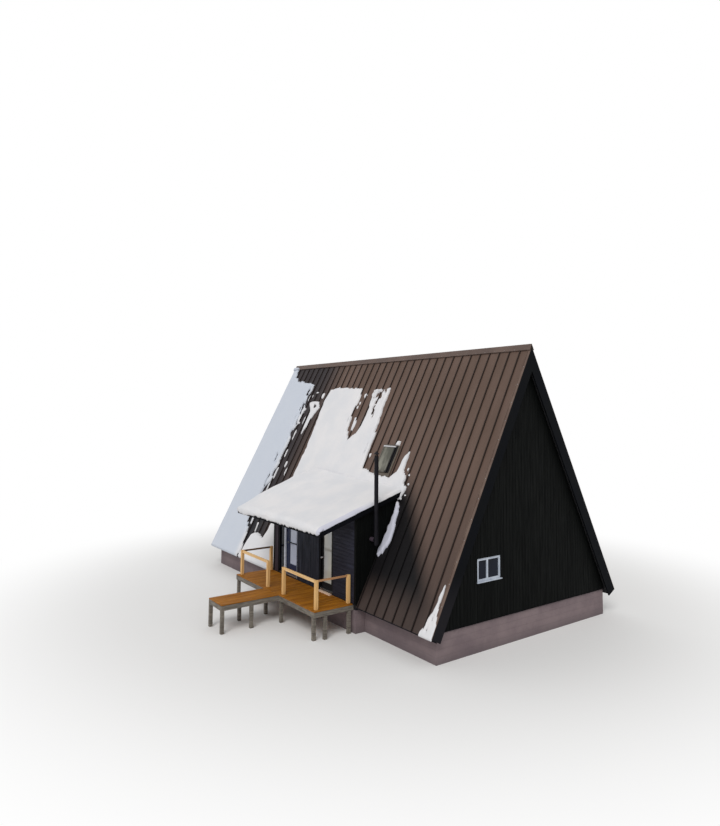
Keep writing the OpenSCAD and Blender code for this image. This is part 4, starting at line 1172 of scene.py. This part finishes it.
centre_outline = [
    (-2.95, 3.4), (-2.95, 4.4), (-3.03, 5.5), (-3.14, 6.6), (-3.20, 7.2), (-3.08, 7.72), (-2.6, 7.80),
    (-2.15, 7.79), (-1.5, 7.74), (-0.80, 7.70), (-0.76, 7.3), (-0.76, 6.95), (-0.80, 6.68), (-0.72, 6.4),
    (-0.72, 6.15), (-0.66, 5.9), (-0.52, 5.62), (-0.34, 5.48), (0.04, 5.80), (0.16, 6.16), (0.16, 6.55),
    (0.14, 7.03), (0.02, 7.65), (0.40, 7.69), (0.95, 7.66), (1.03, 7.05), (1.0, 6.70), (1.10, 6.15),
    (1.14, 5.75), (1.19, 5.33), (1.23, 4.93), (1.32, 4.42), (2.10, 4.26), (2.55, 4.20), (3.08, 4.28),
    (3.20, 4.51), (3.27, 4.77), (3.33, 5.0), (3.42, 5.20), (3.44, 4.98), (3.44, 4.69), (3.56, 4.42),
    (3.76, 4.26), (3.72, 4.11), (3.92, 3.92), (3.86, 3.80), (3.84, 3.60), (3.80, 3.5), (-1.6, 3.5)]
centre_holes = [
    [(0.44, 7.40), (0.56, 7.40), (0.54, 7.15), (0.43, 7.16)],
    [(0.42, 7.13), (0.54, 7.11), (0.53, 7.03), (0.41, 7.05)],
    [(0.44, 6.93), (0.50, 6.93), (0.48, 6.80), (0.43, 6.80)],
    [(0.51, 6.74), (0.56, 6.74), (0.55, 6.61), (0.50, 6.61)],
    [(0.58, 6.58), (0.62, 6.58), (0.61, 6.42), (0.57, 6.42)],
    [(-0.90, 6.34), (-0.84, 6.34), (-0.83, 6.22), (-0.89, 6.22)],
    [(1.06, 5.30), (1.11, 5.30), (1.10, 4.96), (1.05, 4.96)]]


def right_lane(x, s):
    """How thin and patchy the snow lies on the strip right of the bare lane."""
    across = np.clip(x / 0.1, 0, 1)
    return across * np.clip((s - 6.1) / 1.2, 0, 1)


snow_bed("snow_above_the_dormer", [centre_outline], on_front, 0.085, 0.042, brow=0.10, seed=21,
         holes=centre_holes, limit=ROOF_LIMIT, patchy=right_lane)

FLECKS = (
    (-4.12, 7.59, 0.15, 0.17), (-3.54, 7.43, 0.17, 0.24), (-4.02, 4.12, 0.09, 0.30), (-3.78, 3.80, 0.09, 0.42),
    (-4.45, 5.50, 0.08, 0.46), (-4.43, 4.63, 0.07, 0.40), (-4.50, 3.71, 0.09, 0.56), (-4.61, 3.00, 0.08, 0.46),
    (-4.39, 7.44, 0.08, 0.27), (-4.57, 7.27, 0.08, 0.38), (-4.21, 6.22, 0.08, 0.44), (-4.29, 2.11, 0.07, 0.42),
    (-0.42, 7.40, 0.15, 0.24), (-0.575, 7.05, 0.06, 0.12), (-0.635, 6.87, 0.06, 0.11), (1.38, 4.94, 0.09, 0.18),
    (3.83, 4.38, 0.08, 0.09), (3.69, 4.57, 0.07, 0.11), (3.97, 4.08, 0.10, 0.08), (3.99, 3.70, 0.08, 0.09),
    (3.88, 3.57, 0.08, 0.11))
streaks = [fleck(x, up, wide, long, 300 + i) for i, (x, up, wide, long) in enumerate(FLECKS)]
streaks += [
    [(-4.39, 7.09), (-4.19, 7.16), (-3.68, 7.13), (-3.40, 6.84), (-3.55, 6.64), (-3.66, 6.35), (-3.78, 5.86),
     (-3.92, 5.55), (-3.98, 6.25), (-4.0, 6.64), (-4.25, 6.9)],
    [(-0.50, 6.42), (-0.36, 6.42), (-0.30, 6.12), (-0.34, 5.84), (-0.42, 5.84), (-0.46, 6.1)],
    [(-4.72, 1.68), (-4.60, 1.68), (-4.56, 1.36), (-4.67, 1.34)],
    [(-4.12, 1.52), (-4.05, 1.50), (-3.99, 1.12), (-4.07, 1.10)],
]
streak_holes = [[(-4.0, 7.02), (-3.84, 7.03), (-3.68, 6.90), (-3.80, 6.80), (-3.94, 6.86)]]
snow_bed("snow_streaks", streaks, on_front, 0.05, 0.014, cell=(0.02, 0.04), brow=0.06, seed=31,
         holes=streak_holes)

foot_patch = [
    (-4.45, -0.1), (-4.30, 0.33), (-4.26, 0.51), (-4.21, 0.73), (-4.12, 0.92), (-4.02, 1.06), (-3.72, 1.12),
    (-3.40, 1.03), (-3.12, 1.03), (-3.03, 1.27), (-3.02, 1.53), (-2.93, 1.72), (-2.4, 2.1), (-1.46, 2.6),
    (-1.46, -0.1)]
snow_bed("snow_at_the_left_foot", [foot_patch], on_front, 0.12, 0.03, seed=41,
         limit=(-7.1, DORMER_X0 - 0.045, -0.04, 3.4))

corner_outline = [
    (3.76, 3.48), (3.87, 3.44), (3.94, 3.26), (3.98, 3.07), (4.07, 2.80), (4.17, 2.46), (4.17, 2.20),
    (4.07, 1.96), (3.97, 1.72), (3.87, 1.60), (3.76, 1.66), (3.74, 1.9), (3.78, 2.1), (3.82, 2.4),
    (3.82, 2.7), (3.80, 3.0), (3.77, 3.2)]
snow_bed("snow_in_the_dormer_corner", [corner_outline], on_front, 0.08, 0.030, cell=(0.02, 0.03), brow=0.08,
         seed=51, limit=(DORMER_X1 + 0.022, 4.3, 1.3, 3.7))

verge_outline = [
    (6.95, 1.44), (6.90, 1.21), (6.88, 0.93), (6.84, 0.67), (6.77, 0.44), (6.71, 0.21), (6.64, -0.1),
    (7.2, -0.1), (7.2, 0.3), (7.07, 0.42), (7.05, 0.73), (7.02, 1.1), (6.99, 1.40)]
verge_holes = [
    [(6.90, 0.62), (6.96, 0.62), (6.95, 0.44), (6.89, 0.44)],
    [(6.98, 0.95), (7.02, 0.95), (7.01, 0.80), (6.97, 0.80)],
    [(6.82, 0.30), (6.87, 0.30), (6.86, 0.14), (6.81, 0.14)]]
snow_bed("snow_on_the_right_verge", [verge_outline], on_front, 0.045, 0.036, cell=(0.018, 0.036), brow=0.05,
         seed=61, holes=verge_holes, limit=ROOF_LIMIT)

ridge_clump = [(-7.2, SLOPE_LENGTH - 0.24), (-6.80, SLOPE_LENGTH - 0.20), (-6.70, SLOPE_LENGTH - 0.10),
               (-6.78, SLOPE_LENGTH - 0.02), (-7.2, SLOPE_LENGTH + 0.02)]
snow_bed("snow_at_the_ridge_end", [ridge_clump], on_front, 0.15, 0.012, cell=(0.02, 0.02), brow=0.07, seed=77,
         limit=(-ROOF_HALF + 0.004, -6.6, SLOPE_LENGTH - 0.3, SLOPE_LENGTH - 0.030))
clump = [(2.62, 5.38), (2.80, 5.38), (2.78, 5.56), (2.68, 5.54)]
snow_bed("snow_above_the_skylight", [clump], on_front, 0.10, 0.015, cell=(0.02, 0.03), brow=0.08, seed=71)


def dormer_depth(x, t):
    """Snow on the dormer is deepest at its left side and thins out towards its front corner there."""
    left = np.clip((2.2 - x) / 3.6, 0, 1)
    back = np.clip(t / 2.6, 0, 1)
    verge = 1 - 0.22 * np.clip((x - 2.6) / 1.0, 0, 1)
    tip = np.clip((-0.6 - x) / 1.0, 0, 1) * np.clip((0.9 - t) / 0.9, 0, 1)
    return (0.14 + 0.18 * left * left * (3 - 2 * left) * back) * (1 - 0.5 * tip) * verge


dormer_outline = [(-1.75, -0.2), (3.95, -0.2), (3.95, 3.9), (-1.75, 3.9)]
DORMER_LIMIT = (DORMER_VERGE_X0 - 0.035, DORMER_VERGE_X1 + 0.02, -0.035, DORMER_SLOPE_LENGTH + 0.12)
snow_bed("snow_on_the_dormer", [dormer_outline], on_dormer, dormer_depth, 0.012, cell=(0.045, 0.045), brow=0.15,
         seed=81, limit=DORMER_LIMIT, sink=0.004, lumpy=0.8, fringe=0.014)


def snow_lip():
    """Snow that has crept over the dormer's front edge, hangs before the fascia and sags lower at its left."""
    places = np.linspace(DORMER_VERGE_X0 - 0.030, DORMER_VERGE_X1 + 0.012, 190)
    line = places[None, :]
    zero = np.zeros_like(line)
    drops = 0.020 * soft_noise(line, zero, 0.20, 1.0, 91) + 0.022 * soft_noise(line, zero, 0.065, 1.0, 92)
    bulges = 0.060 + 0.015 * soft_noise(line, zero, 0.45, 1.0, 93)
    points = []
    for x, drop, bulge in zip(places, 0.094 + drops[0], bulges[0]):
        end = min(1.0, (x - places[0]) / 0.45, (places[-1] - x) / 0.20)
        round_off = math.sqrt(max(0.0, 1 - (1 - end) ** 2))
        high = float(dormer_depth(x, 0.0)) * (0.35 + 0.65 * round_off)
        out = bulge * (0.35 + 0.65 * round_off)
        low = drop * (0.45 + 0.55 * round_off) * (1 + 0.8 * max(0.0, 1 - (x - places[0]) / 1.3))
        points += [on_dormer(x, t, h * high) for t, h in ((0.15, 0.80), (0.04, 0.70), (-0.035, 0.48))]
        # Over the edge: how far out, and how far up or down
        for forward, up in ((0.9 * out, 0.16 * high), (out, -0.30 * low), (0.88 * out, -0.70 * low),
                            (0.55 * out, -0.96 * low), (0.25 * out, -low), (0.008, -0.90 * low),
                            (0.006, -0.10 * low)):
            points.append((x, DORMER_EDGE_Y - forward, DORMER_EDGE_Z + up))
        points.append(on_dormer(x, 0.15, 0.01))
    ring = len(points) // len(places)
    rings = [list(range(ring)), list(range(len(points) - ring, len(points)))[::-1]]
    for k in range(len(places) - 1):
        for i in range(ring):
            j = (i + 1) % ring
            rings.append([k * ring + j, k * ring + i, (k + 1) * ring + i, (k + 1) * ring + j])
    lip = snow_piece("snow_lip_on_the_dormer", points, rings)
    solid = bmesh.new()
    solid.from_mesh(lip.data)
    bmesh.ops.recalc_face_normals(solid, faces=solid.faces)
    solid.to_mesh(lip.data)
    solid.free()


snow_lip()

# Camera, at the photograph's angle
EYE = (19.845, -15.910, 6.841)
YAW = math.radians(53.782)
TILT = math.radians(-4.101)
ROLL = math.radians(0.462)
SENSOR = 36.0
# In the photograph's pixels: focal length, height, and how far the view is shifted
FOCAL = 637.61
HEIGHT = 826
SHIFT = -50
view = Vector((-math.sin(YAW) * math.cos(TILT), math.cos(YAW) * math.cos(TILT), -math.sin(TILT)))
level_right = Vector((math.cos(YAW), math.sin(YAW), 0.0))
level_up = level_right.cross(view)
right = math.cos(ROLL) * level_right + math.sin(ROLL) * level_up
up = math.cos(ROLL) * level_up - math.sin(ROLL) * level_right
camera = bpy.data.objects.new("camera", bpy.data.cameras.new("camera"))
scene.collection.objects.link(camera)
turn = Matrix((right, up, -view)).transposed().to_4x4()
camera.matrix_world = Matrix.Translation(EYE) @ turn
camera.data.sensor_width = SENSOR
camera.data.lens = SENSOR * FOCAL / HEIGHT
camera.data.shift_y = SHIFT / HEIGHT
camera.data.clip_start = 0.1
camera.data.clip_end = 400.0
scene.camera = camera


# Floor and light
def seen_directly(g):
    """1 where the camera, a reflection or glass sees the surface, and 0 where it only lights the object."""
    rays = g.add("ShaderNodeLightPath").outputs
    seen = g.calc("MAXIMUM", rays["Is Camera Ray"], rays["Is Glossy Ray"])
    return g.calc("MAXIMUM", seen, rays["Is Transmission Ray"])


def plain_floor():
    """A pale floor that keeps the object's shadow and runs into the white background."""
    mesh = bpy.data.meshes.new("floor_plane")
    reach = 90.0
    corners = [(-reach, -reach, 0), (reach, -reach, 0), (reach, reach, 0), (-reach, reach, 0)]
    mesh.from_pydata(corners, [], [[0, 1, 2, 3]])
    floor = bpy.data.objects.new("studio_floor", mesh)
    scene.collection.objects.link(floor)
    material = bpy.data.materials.new("studio_floor")
    material.use_nodes = True
    g = Graph(material.node_tree)
    shader = g.tree.nodes["Principled BSDF"]
    shader.inputs["Base Color"].default_value = (0.80, 0.80, 0.80, 1.0)
    shader.inputs["Roughness"].default_value = 0.9
    shader.inputs["Specular IOR Level"].default_value = 0.0
    x, y, _ = g.parts(g.add("ShaderNodeTexCoord").outputs["Object"])
    away = g.calc("SQRT", g.plus(g.times(x, x), g.times(y, y)))
    fade = g.times(g.spread(away, 8.5, 17.0), seen_directly(g))
    white = g.add("ShaderNodeEmission", {"Color": (1.0, 1.0, 1.0, 1.0), "Strength": 1.0}).outputs[0]
    mixed = g.add("ShaderNodeMixShader", {0: fade, 1: shader.outputs[0], 2: white}).outputs[0]
    g.feed(g.tree.nodes["Material Output"].inputs["Surface"], mixed)
    mesh.materials.append(material)


plain_floor()
scene.view_settings.view_transform = "Standard"
world = bpy.data.worlds.new("studio")
scene.world = world
world.use_nodes = True
g = Graph(world.node_tree)
backdrop = g.tree.nodes["Background"]
g.feed(backdrop.inputs["Color"], (1.0, 1.0, 1.0, 1.0))
g.feed(backdrop.inputs["Strength"], g.plus(0.62, g.times(seen_directly(g), 0.38)))

lamp = bpy.data.lights.new("soft_key", "SUN")
lamp.energy = 1.5
lamp.angle = math.radians(28)
lamp.color = (1.0, 0.985, 0.96)
key = bpy.data.objects.new("soft_key", lamp)
scene.collection.objects.link(key)
key.rotation_euler = Vector((-0.45, 0.60, -0.75)).to_track_quat("-Z", "Y").to_euler()
